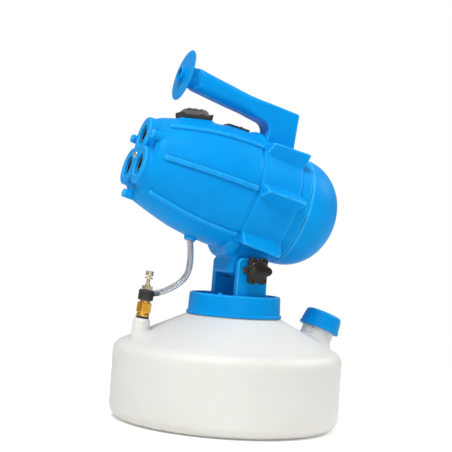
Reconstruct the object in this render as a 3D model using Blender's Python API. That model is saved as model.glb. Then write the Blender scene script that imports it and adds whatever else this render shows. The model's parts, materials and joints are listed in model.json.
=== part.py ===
"""Electrostatic disinfectant sprayer: a round five litre tank under a tilting blower head.

Run it with: blender --background --python part.py, or from Blender's text editor.
Sizes are written in millimetres and turned into Blender's metres by MM. +Z is up, the origin is
the centre of the tank's bottom on the ground, the nozzles point to -Y and the clamp knob is at +X.
Head pieces are drawn level, as (x, s, h): s runs along the head's axis, positive to the rear, and
h is height above it. A parent empty then tilts them nose-up about the clamp bolt.
"""

import math

import bmesh
import bpy
from mathutils import Vector

MM = 0.001
GAP = 0.3

# Sides of round pieces, by their size
LARGE = 32
MEDIUM = 20
SMALL = 14
TINY = 12

# Tank
TANK_RADIUS = 130.0
TANK_WALL = 3.0
TANK_CORNER = 15.0
WALL_TOP = 77.0
CONE_SLOPE = 0.45
SHOULDER_RADIUS = 13.0
NECK_OFFSET = 4.0
NECK_RADIUS = 48.3
NECK_BASE = 120.3
NECK_TOP = 135.3

# Collar and yoke
COLLAR_BORE = 48.8
COLLAR_MOUTH = 46.3
COLLAR_FOOT = 120.7
COLLAR_TOP = 145.0
YOKE_DISC = (137.9, 141.9)
EAR_INNER = 31.0
EAR_OUTER = 40.0
EAR_FRONT = -11.5
EAR_REAR = 25.5
EAR_TOP = 187.0

# Head
HEAD_TILT = math.radians(14.1)
PIVOT = (0.0, 7.2, 173.7)
PIVOT_S = 28.0
PIVOT_H = -82.0
BARREL = ((-124.0, 40.0), (-121.5, 45.3), (-117.0, 48.0), (-95.0, 55.0), (-68.0, 62.3),
          (-45.0, 65.8), (-20.0, 67.2), (-9.0, 67.2), (-5.0, 66.0), (-2.0, 66.4), (45.6, 66.4))
CASING_WALL = 2.5
FEATURE_ANGLES = (-132.0, -48.0, 1.5, 48.0, 132.0, 178.5)
BAND_RADIUS = 63.2
BAND_END = 60.2
DOME_START = 60.8
DOME_END = 118.0

# Nozzles
NOSE_FACE = -129.5
NOZZLE_CIRCLE = 23.3
NOZZLE_ANGLES = (90.0, -30.0, 210.0)
NOZZLE_BORE = 11.2
LOBE_RADIUS = 21.5
PEG_CIRCLE = 42.0

# Handle
HANDLE_HALF_WIDTH = 14.5
GUARD_S = -105.0
GUARD_H = 103.2
GUARD_RADIUS = 29.5
LEAD_S = 14.0
ROCKER_THROW = math.radians(7.0)

# Flow valve, on a boss in front of the neck
BOSS_TOP = (0.0, -104.3, 112.5)
VALVE_LEAN = math.radians(5.5)
BOSS_RADIUS = 9.4
PORT_HEIGHT = 27.5
HOSE_RADIUS = 3.5
HOSE_BORE = 2.5
HOSE_EXIT_S = -40.3

# Filler, behind the neck
FILLER_FLANGE = (0.0, 112.7, 109.5)
FILLER_LEAN = math.radians(20.0)
FILLER_NECK_RADIUS = 18.8

# Clamp
BOLT_RADIUS = 3.9
KNOB_RADIUS = 16.5

COLOURS = {
    "blue": ((0.004, 0.290, 0.760), 0.35, 0.0),
    "white": ((0.800, 0.800, 0.780), 0.40, 0.0),
    "black": ((0.018, 0.016, 0.015), 0.40, 0.0),
    "rubber": ((0.020, 0.020, 0.020), 0.75, 0.0),
    "clear": ((0.700, 0.730, 0.760), 0.15, 0.0),
    "red": ((0.650, 0.030, 0.020), 0.35, 0.0),
    "brass": ((0.620, 0.400, 0.130), 0.25, 1.0),
    "steel": ((0.560, 0.560, 0.550), 0.30, 1.0),
    "copper": ((0.600, 0.260, 0.130), 0.35, 1.0),
    "potting": ((0.050, 0.060, 0.080), 0.50, 0.0),
}


def remove_scene_objects():
    for obj in list(bpy.data.objects):
        bpy.data.objects.remove(obj, do_unlink=True)


def finish(name, kind):
    """Each piece has its own Principled material, in one of a few colours."""
    colour, roughness, metallic = COLOURS[kind]
    material = bpy.data.materials.new(name + "_material")
    material.use_nodes = True
    shader = material.node_tree.nodes["Principled BSDF"]
    shader.inputs["Base Color"].default_value = (*colour, 1.0)
    shader.inputs["Roughness"].default_value = roughness
    shader.inputs["Metallic"].default_value = metallic
    return material


def empty(name, location, rotation_x=0.0, parent=None):
    obj = bpy.data.objects.new(name, None)
    bpy.context.scene.collection.objects.link(obj)
    obj.parent = parent
    obj.location = Vector(location) * MM
    obj.rotation_euler = (rotation_x, 0.0, 0.0)
    return obj


def add(name, mesh, kind=None, parent=None, location=(0, 0, 0), rotation=(0, 0, 0)):
    """A named object from a mesh in metres; one without a colour is a hidden cutter or union tool."""
    obj = bpy.data.objects.new(name, mesh)
    bpy.context.scene.collection.objects.link(obj)
    obj.parent = parent
    obj.location = Vector(location) * MM
    obj.rotation_euler = rotation
    if kind:
        mesh.shade_smooth()
        mesh.set_sharp_from_angle(angle=math.radians(32))
        mesh.materials.append(finish(name, kind))
    else:
        obj.hide_render = True
        obj.display_type = "WIRE"
    return obj


def boolean(obj, tool, operation="DIFFERENCE"):
    modifier = obj.modifiers.new(tool.name, "BOOLEAN")
    modifier.object = tool
    modifier.operation = operation
    modifier.solver = "EXACT"


def bevel(obj, width, angle=40.0):
    modifier = obj.modifiers.new("Bevel", "BEVEL")
    modifier.width = width * MM
    modifier.segments = 1
    modifier.limit_method = "ANGLE"
    modifier.angle_limit = math.radians(angle)


def mesh_of(rings, name, closed_rows=False):
    """A closed skin over rings of points in millimetres, with its faces outward. closed_rows joins
    the last ring to the first; otherwise flat caps close both ends."""
    bm = bmesh.new()
    rows = [[bm.verts.new(Vector(point) * MM) for point in ring] for ring in rings]
    pairs = list(zip(rows, rows[1:]))
    if closed_rows:
        pairs.append((rows[-1], rows[0]))
    for low, high in pairs:
        steps = max(len(low), len(high))
        for i in range(steps if steps > 1 else 0):
            j = (i + 1) % steps
            corners = [low[i % len(low)], low[j % len(low)], high[j % len(high)], high[i % len(high)]]
            bm.faces.new(list(dict.fromkeys(corners)))
    if not closed_rows:
        for row in (rows[0][::-1], rows[-1]):
            if len(row) > 2:
                bm.faces.new(row)
    if bm.calc_volume(signed=True) < 0:
        bmesh.ops.reverse_faces(bm, faces=bm.faces)
    mesh = bpy.data.meshes.new(name)
    bm.to_mesh(mesh)
    bm.free()
    return mesh


def turned(name, profile, sides, axis="Z"):
    """A profile of (radius, height) points turned about an axis. It is a ring, with its last point
    joined to its first, unless it starts and ends on the axis at radius 0. A third number in a point
    moves that circle along Y."""
    rings = []
    for point in profile:
        radius, height = point[0], point[1]
        shift = point[2] if len(point) > 2 else 0.0
        steps = 1 if radius == 0 else sides
        ring = []
        for i in range(steps):
            turn = math.tau * (i + 0.5) / sides
            across, along = radius * math.cos(turn), radius * math.sin(turn)
            if axis == "Z":
                ring.append((across, along + shift, height))
            elif axis == "Y":
                ring.append((across, height, along))
            else:
                ring.append((height, across, along))
        rings.append(ring)
    touches_axis = profile[0][0] == 0 and profile[-1][0] == 0
    return mesh_of(rings, name, closed_rows=not touches_axis)


def prism(name, outline, low, high, axis="Z"):
    """A flat outline of two coordinates, pushed from low to high along an axis."""
    def place(point, depth):
        a, b = point
        return {"Z": (a, b, depth), "Y": (a, depth, b), "X": (depth, a, b)}[axis]
    return mesh_of([[place(p, depth) for p in outline] for depth in (low, high)], name)


def block(name, low, high):
    (x0, y0, z0), (x1, y1, z1) = low, high
    return prism(name, [(x0, y0), (x1, y0), (x1, y1), (x0, y1)], z0, z1)


def arc(centre, radius, start, end, steps):
    """Points on a circle between two angles in degrees, both ends included."""
    turns = [math.radians(start + (end - start) * i / steps) for i in range(steps + 1)]
    return [(centre[0] + radius * math.cos(t), centre[1] + radius * math.sin(t)) for t in turns]


def swept(name, path, radius, sides, bore=0.0):
    """A round bar, or a tube with a bore, along a path of points."""
    points = [Vector(p) for p in path]
    rings = []
    side = None
    for i, point in enumerate(points):
        ahead = points[min(i + 1, len(points) - 1)] - points[max(i - 1, 0)]
        ahead.normalize()
        side = side or ahead.orthogonal()
        side = (side - ahead * side.dot(ahead)).normalized()
        other = ahead.cross(side)
        turns = [math.tau * k / sides for k in range(sides)]
        rings.append([(point, side * math.cos(t) + other * math.sin(t)) for t in turns])
    skin = [[centre + way * radius for centre, way in ring] for ring in rings]
    if bore:
        skin += [[centre + way * bore for centre, way in ring] for ring in reversed(rings)]
    return mesh_of(skin, name, closed_rows=bool(bore))


def barrel_radius(s):
    """Outer radius of the front casing at a place along the head."""
    for (s0, r0), (s1, r1) in zip(BARREL, BARREL[1:]):
        if s <= s1:
            return r0 + (r1 - r0) * max(0.0, s - s0) / (s1 - s0)
    return BARREL[-1][1]


def round_head(angle, radius):
    """The (x, h) point at an angle about the head's axis; 90 degrees is the top."""
    turn = math.radians(angle)
    return radius * math.cos(turn), radius * math.sin(turn)


# ---------------------------------------------------------------- tank and what is fixed to it

def tank_profile(inset, steps):
    """Half outline of the tank, bottom centre to neck top, as (radius, height, shift to the rear)."""
    radius = TANK_RADIUS - inset
    points = [(0.0, TANK_WALL + inset, 0.0), (92.0, TANK_WALL + inset, 0.0), (98.0, inset, 0.0)]
    corner = TANK_CORNER - inset
    points += [(r, z, 0.0) for r, z in arc((radius - corner, TANK_CORNER), corner, -90, 0, steps)]
    cone = math.degrees(math.atan(CONE_SLOPE))
    bend = SHOULDER_RADIUS - inset
    centre = (radius - bend, WALL_TOP)
    points += [(r, z, 0.0) for r, z in arc(centre, bend, 0, 90 - cone, steps)]
    points.append((53.0 - inset, NECK_BASE - inset, NECK_OFFSET))
    points.append((NECK_RADIUS - inset, NECK_BASE + 0.2, NECK_OFFSET))
    points.append((NECK_RADIUS - inset, NECK_TOP, NECK_OFFSET))
    return points


def build_tank(valve, filler):
    outer = tank_profile(0.0, 4)
    inner = tank_profile(TANK_WALL, 2)
    tank = add("tank", turned("tank", outer + inner[::-1], LARGE), "white")
    boss = [(BOSS_RADIUS + 1.2, -18.0), (BOSS_RADIUS + 1.2, -16.0), (BOSS_RADIUS, -13.0),
            (BOSS_RADIUS, -1.5), (BOSS_RADIUS - 1.5, 0.0)]
    boss = [(0.0, -18.0)] + boss + [(0.0, 0.0)]
    boolean(tank, add("boss_form", turned("boss_form", boss, SMALL), parent=valve), "UNION")
    neck = [(0.0, -21.0), (21.5, -21.0), (20.0, -14.0), (FILLER_NECK_RADIUS, -10.0),
            (FILLER_NECK_RADIUS, 15.3), (0.0, 15.3)]
    boolean(tank, add("filler_form", turned("filler_form", neck, MEDIUM), parent=filler), "UNION")
    bore = [(0.0, -25.0), (5.0, -25.0), (5.0, 5.0), (0.0, 5.0)]
    boolean(tank, add("boss_bore", turned("boss_bore", bore, TINY), parent=valve))
    mouth = [(0.0, -26.0), (16.0, -26.0), (16.0, 20.0), (0.0, 20.0)]
    boolean(tank, add("filler_bore", turned("filler_bore", mouth, MEDIUM), parent=filler))


def build_yoke(neck):
    low, high = YOKE_DISC
    plate = add("yoke", turned("yoke", [(0, low), (48.4, low), (48.4, high), (0, high)], LARGE), "blue",
                parent=neck)
    corner = 7.0
    ear = [(EAR_FRONT, low + 1.0), (EAR_REAR, low + 1.0)]
    ear += arc((EAR_REAR - 1.0 - corner, EAR_TOP - corner), corner, 0, 90, 4)
    ear += arc((EAR_FRONT + 1.0 + corner, EAR_TOP - corner), corner, 90, 180, 4)
    for side, name in ((1, "right"), (-1, "left")):
        inner, outer = sorted((side * EAR_INNER, side * EAR_OUTER))
        outline = [(y - NECK_OFFSET, z) for y, z in ear]
        form = add("ear_form_" + name, prism("ear", outline, inner, outer, "X"), parent=neck)
        boolean(plate, form, "UNION")
    peg = turned("yoke_peg", [(0, high - 1), (2.4, high - 1), (2.4, high + 4), (0, high + 4)], TINY)
    for x, y in ((-20.0, -26.0), (20.0, -26.0), (-20.0, 30.0), (20.0, 30.0)):
        form = add("yoke_peg_form", peg, parent=neck, location=(x, y, 0))
        boolean(plate, form, "UNION")
    hole = [(0, -60), (BOLT_RADIUS + 0.4, -60), (BOLT_RADIUS + 0.4, 60), (0, 60)]
    place = (0.0, PIVOT[1] - NECK_OFFSET, PIVOT[2])
    boolean(plate, add("ear_hole", turned("ear_hole", hole, TINY, "X"), parent=neck, location=place))


def build_neck_gasket(neck):
    low, high = NECK_TOP + GAP, YOKE_DISC[0] - GAP
    ring = [(44.0, low), (48.0, low), (48.0, high), (44.0, high)]
    add("neck_gasket", turned("neck_gasket", ring, MEDIUM), "rubber", parent=neck)


def build_collar(neck):
    lip = COLLAR_FOOT + 2.6
    shelf = YOKE_DISC[1] + GAP
    ring = [(COLLAR_BORE, COLLAR_FOOT), (54.3, COLLAR_FOOT), (54.6, COLLAR_FOOT + 0.8), (54.4, lip),
            (52.6, lip + 0.9), (51.8, COLLAR_TOP - 4.5)]
    ring += arc((49.0, COLLAR_TOP - 2.6), 2.6, 10, 90, 2)
    ring += [(COLLAR_MOUTH, COLLAR_TOP), (COLLAR_MOUTH, shelf), (COLLAR_BORE, shelf)]
    add("collar_ring", turned("collar_ring", ring, LARGE), "blue", parent=neck)


def build_filler(filler):
    body = [(19.3, 0.0), (23.8, 0.0), (24.1, 0.7), (24.0, 2.9), (22.4, 3.6), (21.6, 13.5)]
    body += arc((15.8, 13.7), 5.8, 0, 90, 4)
    body += [(0.0, 20.0), (0.0, 17.3), (19.3, 17.3)]
    add("filler_cap", turned("filler_cap", body, MEDIUM), "blue", parent=filler)
    disc = [(0.0, 15.6), (18.9, 15.6), (18.9, 17.0), (0.0, 17.0)]
    add("filler_seal", turned("filler_seal", disc, MEDIUM), "rubber", parent=filler)


# ---------------------------------------------------------------- flow valve, dip tube and hose

def hexagon(across_flats):
    radius = across_flats / math.sqrt(3.0)
    return [(radius * math.cos(math.radians(60 * i + 30)), radius * math.sin(math.radians(60 * i + 30)))
            for i in range(6)]


def build_valve(valve):
    seal = [(5.0, 0.3), (7.6, 0.3), (7.4, 1.7), (5.0, 1.7)]
    add("valve_seal", turned("valve_seal", seal, SMALL), "rubber", parent=valve)

    stem = [(0.0, -14.0), (2.0, -14.0), (2.0, -5.0), (4.6, -5.0), (4.6, 2.0), (7.2, 2.0), (6.3, 6.5),
            (6.3, 17.0), (5.9, 17.2), (5.9, 19.3), (0.0, 19.3)]
    fitting = add("valve_fitting", turned("valve_fitting", stem, SMALL), "brass", parent=valve)
    body = add("fitting_hex", prism("fitting_hex", hexagon(14.5), 6.3, 17.3), parent=valve)
    bevel(body, 0.7)
    boolean(fitting, body, "UNION")
    bore = turned("fitting_bore", [(0, -16), (1.2, -16), (1.2, 22), (0, 22)], TINY)
    boolean(fitting, add("fitting_bore", bore, parent=valve))

    shell = [(2.4, 19.6), (7.3, 19.6), (8.45, 20.8), (8.45, 30.7), (7.3, 31.9), (2.4, 31.9)]
    body = add("valve_body", turned("valve_body", shell, SMALL), "black", parent=valve)
    barb = turned("port_barb", [(0, 6.5), (2.2, 6.5), (2.2, 15.0), (0, 15.0)], TINY, "Y")
    place = (0.0, 0.0, PORT_HEIGHT)
    turn = (VALVE_LEAN, 0.0, 0.0)
    boolean(body, add("port_barb", barb, parent=valve, location=place, rotation=turn), "UNION")
    port = turned("port_bore", [(0, 0), (1.2, 0), (1.2, 20), (0, 20)], TINY, "Y")
    boolean(body, add("port_bore", port, parent=valve, location=place, rotation=turn))

    gland = add("valve_gland", prism("valve_gland", hexagon(11.0), 32.2, 36.0), "brass", parent=valve)
    bevel(gland, 0.5)
    nipple = [(0.0, 35.0), (3.0, 35.0), (3.0, 36.6), (2.7, 38.2), (0.0, 38.2)]
    boolean(gland, add("gland_nipple", turned("gland_nipple", nipple, TINY), parent=valve), "UNION")
    bore = turned("gland_bore", [(0, 30), (2.35, 30), (2.35, 40), (0, 40)], TINY)
    boolean(gland, add("gland_bore", bore, parent=valve))

    needle = [(0.0, 20.5), (1.7, 24.5), (1.7, 33.2), (0.0, 33.2)]
    add("valve_needle", turned("valve_needle", needle, TINY), "steel", parent=valve)

    knob = [(0.0, 33.6), (2.0, 33.6), (2.0, 47.0), (3.7, 47.0), (4.3, 47.6), (4.3, 52.0), (3.7, 52.6),
            (0.0, 52.6)]
    add("valve_knob", turned("valve_knob", knob, SMALL), "brass", parent=valve)
    nut = [(2.3, 43.6), (4.0, 43.6), (4.4, 44.1), (4.4, 45.3), (4.0, 45.8), (2.3, 45.8)]
    add("valve_lock_nut", turned("valve_lock_nut", nut, SMALL), "brass", parent=valve)


def build_dip_tube():
    top = Vector(BOSS_TOP) + Vector((0, -math.sin(VALVE_LEAN), -math.cos(VALVE_LEAN))) * 7.0
    foot = (0.0, top.y - 2.5, 14.0)
    middle = (0.0, top.y - 2.0, 70.0)
    add("dip_tube", swept("dip_tube", [top, middle, foot], 3.2, TINY, 2.3), "clear")
    place = (foot[0], foot[1], 0.0)
    cup = [(3.6, 8.0), (6.5, 8.0), (6.5, 24.0), (3.6, 24.0)]
    add("dip_strainer", turned("dip_strainer", cup, TINY), "black", location=place)


def hose_path(start_y, start_z, rise_y, bend):
    """Out of the valve port to the rear, then round an arc until it points straight up."""
    centre = (rise_y - bend, start_z + bend)
    points = [(start_y, start_z), ((start_y + centre[0]) / 2, start_z)]
    points += arc(centre, bend, -90, 0, 6)
    return [(0.0, y, z) for y, z in points]


def build_lower_hose():
    port_y = BOSS_TOP[1] + PORT_HEIGHT * math.sin(VALVE_LEAN)
    port_z = BOSS_TOP[2] + PORT_HEIGHT * math.cos(VALVE_LEAN)
    path = hose_path(port_y + 8.45 + 2 * GAP, port_z, -54.0, 24.0)[:-1]
    add("hose_lower", swept("hose_lower", path, HOSE_RADIUS, TINY, HOSE_BORE), "clear")


# ---------------------------------------------------------------- clamp

def build_clamp():
    """Bolt, spacers, washer and knob, drawn along +X from the tilt axis."""
    shaft = [(0.0, -45.0), (6.0, -44.3), (9.0, -42.0), (9.0, -EAR_OUTER - GAP),
             (BOLT_RADIUS, -EAR_OUTER - GAP), (BOLT_RADIUS, 53.0), (0.0, 53.0)]
    add("clamp_bolt", turned("clamp_bolt", shaft, SMALL, "X"), "steel", location=PIVOT)
    for side, name in ((1, "right"), (-1, "left")):
        low, high = sorted((side * (EAR_INNER - GAP), side * 28.4))
        ring = [(4.3, low), (11.0, low), (11.0, high), (4.3, high)]
        disc = turned("friction_disc_" + name, ring, SMALL, "X")
        add("friction_disc_" + name, disc, "rubber", location=PIVOT)
    low = EAR_OUTER + GAP
    ring = [(4.3, low), (9.0, low), (9.0, low + 1.5), (4.3, low + 1.5)]
    add("clamp_washer", turned("clamp_washer", ring, SMALL, "X"), "steel", location=PIVOT)

    foot = low + 1.5 + GAP
    star = []
    for lobe in range(6):
        middle = 60.0 * lobe
        tip = (13.2 * math.cos(math.radians(middle)), 13.2 * math.sin(math.radians(middle)))
        star += arc(tip, KNOB_RADIUS - 13.2, middle - 70, middle + 70, 4)
        star.append((11.6 * math.cos(math.radians(middle + 30)), 11.6 * math.sin(math.radians(middle + 30))))
    knob = add("clamp_knob", prism("clamp_knob", star, foot + 5.0, foot + 15.0, "X"), "black",
               location=PIVOT)
    bevel(knob, 1.2)
    hub = [(0.0, foot), (8.5, foot), (8.5, foot + 6.0), (10.2, foot + 6.0), (10.2, foot + 15.5),
           (8.5, foot + 17.5), (0.0, foot + 18.0)]
    form = add("knob_hub", turned("knob_hub", hub, SMALL, "X"), location=PIVOT)
    boolean(knob, form, "UNION")
    socket = turned("knob_socket", [(0, foot - 5), (6.3, foot - 5), (6.3, 55.0), (0, 55.0)], TINY, "X")
    boolean(knob, add("knob_socket", socket, location=PIVOT))
    ring = [(4.3, foot + 0.6), (6.0, foot + 0.6), (6.0, foot + 10.0), (4.3, foot + 10.0)]
    add("knob_insert", turned("knob_insert", ring, TINY, "X"), "brass", location=PIVOT)


# ---------------------------------------------------------------- head shells

def build_rib(head, angle):
    """A thin rib that lies on the barrel from just behind the nose to the crease."""
    stations = ((-113.5, 1.2, 0.3), (-109.0, 2.0, 1.6), (-92.0, 2.4, 2.0), (-66.0, 2.6, 2.0),
                (-44.0, 2.6, 2.0), (-8.0, 2.6, 2.0), (-3.0, 1.6, 0.6))
    rings = []
    for s, half, height in stations:
        base, top = barrel_radius(s) - 1.2, barrel_radius(s) + height
        ring = [(-half, base), (-half * 0.6, top), (half * 0.6, top), (half, base)]
        rings.append([(across, s, radius) for across, radius in ring])
    turn = (0.0, math.radians(90.0 - angle), 0.0)
    name = "rib_form_%d" % (angle % 360)
    return add(name, mesh_of(rings, name), parent=head, rotation=turn)


def eave_rings(inset, start, end):
    """Wedge-shaped air scoop: a round ridge over a base that widens to the rear, open at the back."""
    rings = []
    for s, half, ridge, overhang in ((start, 5.5, 73.0, 0.0), (start + 5.0, 8.0, 79.0, 0.0),
                                     (end, 11.0, 81.0, 4.0)):
        half, ridge = half - inset, ridge - inset
        foot = 65.0 if inset == 0 else 60.0
        crown = 3.2 - inset * 0.6
        ring = [(-half, foot, 0.0)]
        for turn in (150, 110, 70, 30):
            spread = crown * math.cos(math.radians(turn))
            lift = ridge - crown + crown * math.sin(math.radians(turn))
            ring.append((spread, lift, overhang))
        ring.append((half, foot, 0.0))
        rings.append([(across, s + over, radius) for across, radius, over in ring])
    return rings


def build_eave(head, angle, hollow):
    turn = (0.0, math.radians(90.0 - angle), 0.0)
    name = ("eave_space_%d" if hollow else "eave_form_%d") % (angle % 360)
    rings = eave_rings(2.2, 3.5, 50.0) if hollow else eave_rings(0.0, -1.5, 45.6)
    return add(name, mesh_of(rings, name), parent=head, rotation=turn)


def trefoil(grow=0.0):
    """Outline of the three nozzle lobes as (x, h), with each notch where two circles cross."""
    radius = LOBE_RADIUS + grow
    half_spacing = NOZZLE_CIRCLE * math.sin(math.radians(60))
    notch = math.sqrt(radius ** 2 - half_spacing ** 2) + NOZZLE_CIRCLE / 2
    reach = math.atan2(notch * math.sin(math.radians(60)),
                       notch * math.cos(math.radians(60)) - NOZZLE_CIRCLE)
    sweep = math.degrees(reach)
    outline = []
    for angle in sorted(NOZZLE_ANGLES):
        outline += arc(round_head(angle, NOZZLE_CIRCLE), radius, angle - sweep, angle + sweep, 10)[:-1]
    return outline


def saddle(name, grow):
    """The rounded bump that the handle's post stands in."""
    rings = []
    for turn in range(-90, 91, 30):
        size = math.cos(math.radians(turn))
        height = 58.0 + (14.5 + grow) * math.sin(math.radians(turn))
        ring = [((24.0 + grow) * size * math.cos(math.tau * i / 20),
                 -1.0 + (14.0 + grow) * size * math.sin(math.tau * i / 20), height) for i in range(20)]
        rings.append(ring[:1] if abs(turn) == 90 else ring)
    return mesh_of(rings, name)


def build_casing(head, switch_seats):
    rear = BARREL[-1][0]
    profile = [(0.0, -124.8)] + [(r, s) for s, r in BARREL] + [(0.0, rear)]
    casing = add("front_casing", turned("front_casing", profile, LARGE, "Y"), "blue", parent=head)
    for angle in FEATURE_ANGLES:
        boolean(casing, build_rib(head, angle), "UNION")
        boolean(casing, build_eave(head, angle, hollow=False), "UNION")
    boolean(casing, add("saddle_form", saddle("saddle_form", 0.0), parent=head), "UNION")
    peg = [(0, NOSE_FACE - 0.5), (3.9, NOSE_FACE - 0.5), (4.5, NOSE_FACE + 0.3), (4.5, -110), (0, -110)]
    for angle in (30.0, 150.0, 270.0):
        x, h = round_head(angle, PEG_CIRCLE)
        form = add("peg_form_%d" % angle, turned("peg_form", peg, TINY, "Y"), parent=head,
                   location=(x, 0, h))
        boolean(casing, form, "UNION")
    spout = turned("spout_form", [(0, -69.6), (6.6, -69.6), (7.2, -63.5), (0, -63.5)], TINY)
    boolean(casing, add("spout_form", spout, parent=head, location=(0, HOSE_EXIT_S, 0)), "UNION")

    hollow = [(0.0, -122.0), (38.5, -121.2), (43.0, -119.0)]
    hollow += [(r - CASING_WALL, s) for s, r in BARREL[2:-1]]
    hollow += [(BARREL[-1][1] - CASING_WALL, rear + 15.0), (0.0, rear + 15.0)]
    boolean(casing, add("casing_space", turned("casing_space", hollow, LARGE, "Y"), parent=head))
    for angle in FEATURE_ANGLES:
        boolean(casing, build_eave(head, angle, hollow=True))
    nose_hole = prism("nose_hole", trefoil(GAP), -140.0, -112.0, "Y")
    boolean(casing, add("nose_hole", nose_hole, parent=head))
    hose_hole = turned("hose_hole", [(0, -80), (5.2, -80), (5.2, -55), (0, -55)], TINY)
    boolean(casing, add("hose_hole", hose_hole, parent=head, location=(0, HOSE_EXIT_S, 0)))
    lead_hole = turned("lead_hole", [(0, 50), (4.2, 50), (4.2, 80), (0, 80)], TINY)
    boolean(casing, add("lead_hole", lead_hole, parent=head, location=(0, LEAD_S, 0)))
    for name, seat, (half_x, half_y) in switch_seats:
        hole = block(name, (-half_x, -half_y, -20.0), (half_x, half_y, 20.0))
        boolean(casing, add(name, hole, parent=seat))


def build_tilt_lug(head):
    """Hangs the head in the yoke: a bulge under the barrel and a tongue between the ears."""
    rings = []
    for h, front, rear, half in ((-50, -9.0, 9.0, 38.0), (-62, -8.5, 9.0, 35.4), (-67, -7.5, 8.5, 32.5),
                                 (-71, -4.0, 8.0, 30.0), (-75, 3.0, 8.0, 27.5)):
        rings.append([(x, s, float(h)) for x, s in
                      ((half, rear), (half, front + 4), (half - 5, front), (5 - half, front),
                       (-half, front + 4), (-half, rear))])
    lug = add("tilt_lug", mesh_of(rings, "tilt_lug"), "blue", parent=head)
    rings = []
    for h, front, rear, half in ((-50, 5.0, 50.0, 28.0), (-74, 5.0, 50.0, 28.0), (-88, 6.0, 49.0, 25.6),
                                 (-92, 9.0, 46.0, 24.5)):
        rings.append([(x, s, float(h)) for x, s in
                      ((half, rear), (half, front + 2), (half - 2, front), (2 - half, front),
                       (-half, front + 2), (-half, rear))])
    boolean(lug, add("tongue_form", mesh_of(rings, "tongue_form"), parent=head), "UNION")
    barrel = [(0.0, -60.0)] + [(barrel_radius(s) + GAP, s) for s in (-60, -45, -20, -9, -5, -2, 60)]
    barrel += [(0.0, 60.0)]
    boolean(lug, add("lug_seat", turned("lug_seat", barrel, LARGE, "Y"), parent=head))
    hole = turned("lug_hole", [(0, -50), (4.3, -50), (4.3, 50), (0, 50)], TINY, "X")
    boolean(lug, add("lug_hole", hole, parent=head, location=(0, PIVOT_S, PIVOT_H)))
    for s in (12.0, 44.0):
        screw = [(0, -66.0 + 3.0), (2.0, -63.0), (2.0, -75.0), (0, -75.0)]
        boolean(lug, add("lug_screw_hole", turned("lug_screw_hole", screw, TINY), parent=head,
                         location=(0, s, 0)))


def build_nose(head):
    block_mesh = prism("nose_block", trefoil(), NOSE_FACE, -108.0, "Y")
    nose = add("nose_block", block_mesh, "blue", parent=head)
    bevel(nose, 1.0, angle=60.0)
    for index, angle in enumerate(NOZZLE_ANGLES, 1):
        x, h = round_head(angle, NOZZLE_CIRCLE)
        bore = [(0, -140), (NOZZLE_BORE, -140), (NOZZLE_BORE, -100), (0, -100)]
        boolean(nose, add("nose_bore_%d" % index, turned("nose_bore", bore, SMALL, "Y"), parent=head,
                          location=(x, 0, h)))
        sleeve = [(9.4, -126.0), (10.9, -126.0), (10.9, -100.0), (9.4, -100.0)]
        add("nozzle_sleeve_%d" % index, turned("nozzle_sleeve", sleeve, SMALL, "Y"), "steel", parent=head,
            location=(x, 0, h))
        core = [(0.0, -123.5), (1.6, -123.0), (3.4, -117.0), (3.8, -106.0), (2.4, -104.0),
                (2.4, -93.5), (0.0, -93.5)]
        swirl = add("swirl_core_%d" % index, turned("swirl_core", core, TINY, "Y"), "brass", parent=head,
                    location=(x, 0, h))
        for vane in range(5):
            fin = block("vane", (-0.5, -116.0, 2.5), (0.5, -107.0, 9.0))
            form = add("vane_form_%d_%d" % (index, vane), fin, parent=head, location=(x, 0, h),
                       rotation=(0, math.tau * vane / 5, 0))
            boolean(swirl, form, "UNION")
    screw_hole = turned("nose_screw_hole", [(0, -140), (2.3, -140), (2.3, -100), (0, -100)], TINY, "Y")
    boolean(nose, add("nose_screw_hole", screw_hole, parent=head))
    screw = [(0.0, -132.0), (3.0, -131.6), (4.7, -130.2), (4.7, NOSE_FACE - GAP), (2.0, NOSE_FACE - GAP),
             (2.0, -98.5), (0.0, -98.5)]
    add("nose_screw", turned("nose_screw", screw, TINY, "Y"), "steel", parent=head)


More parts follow.
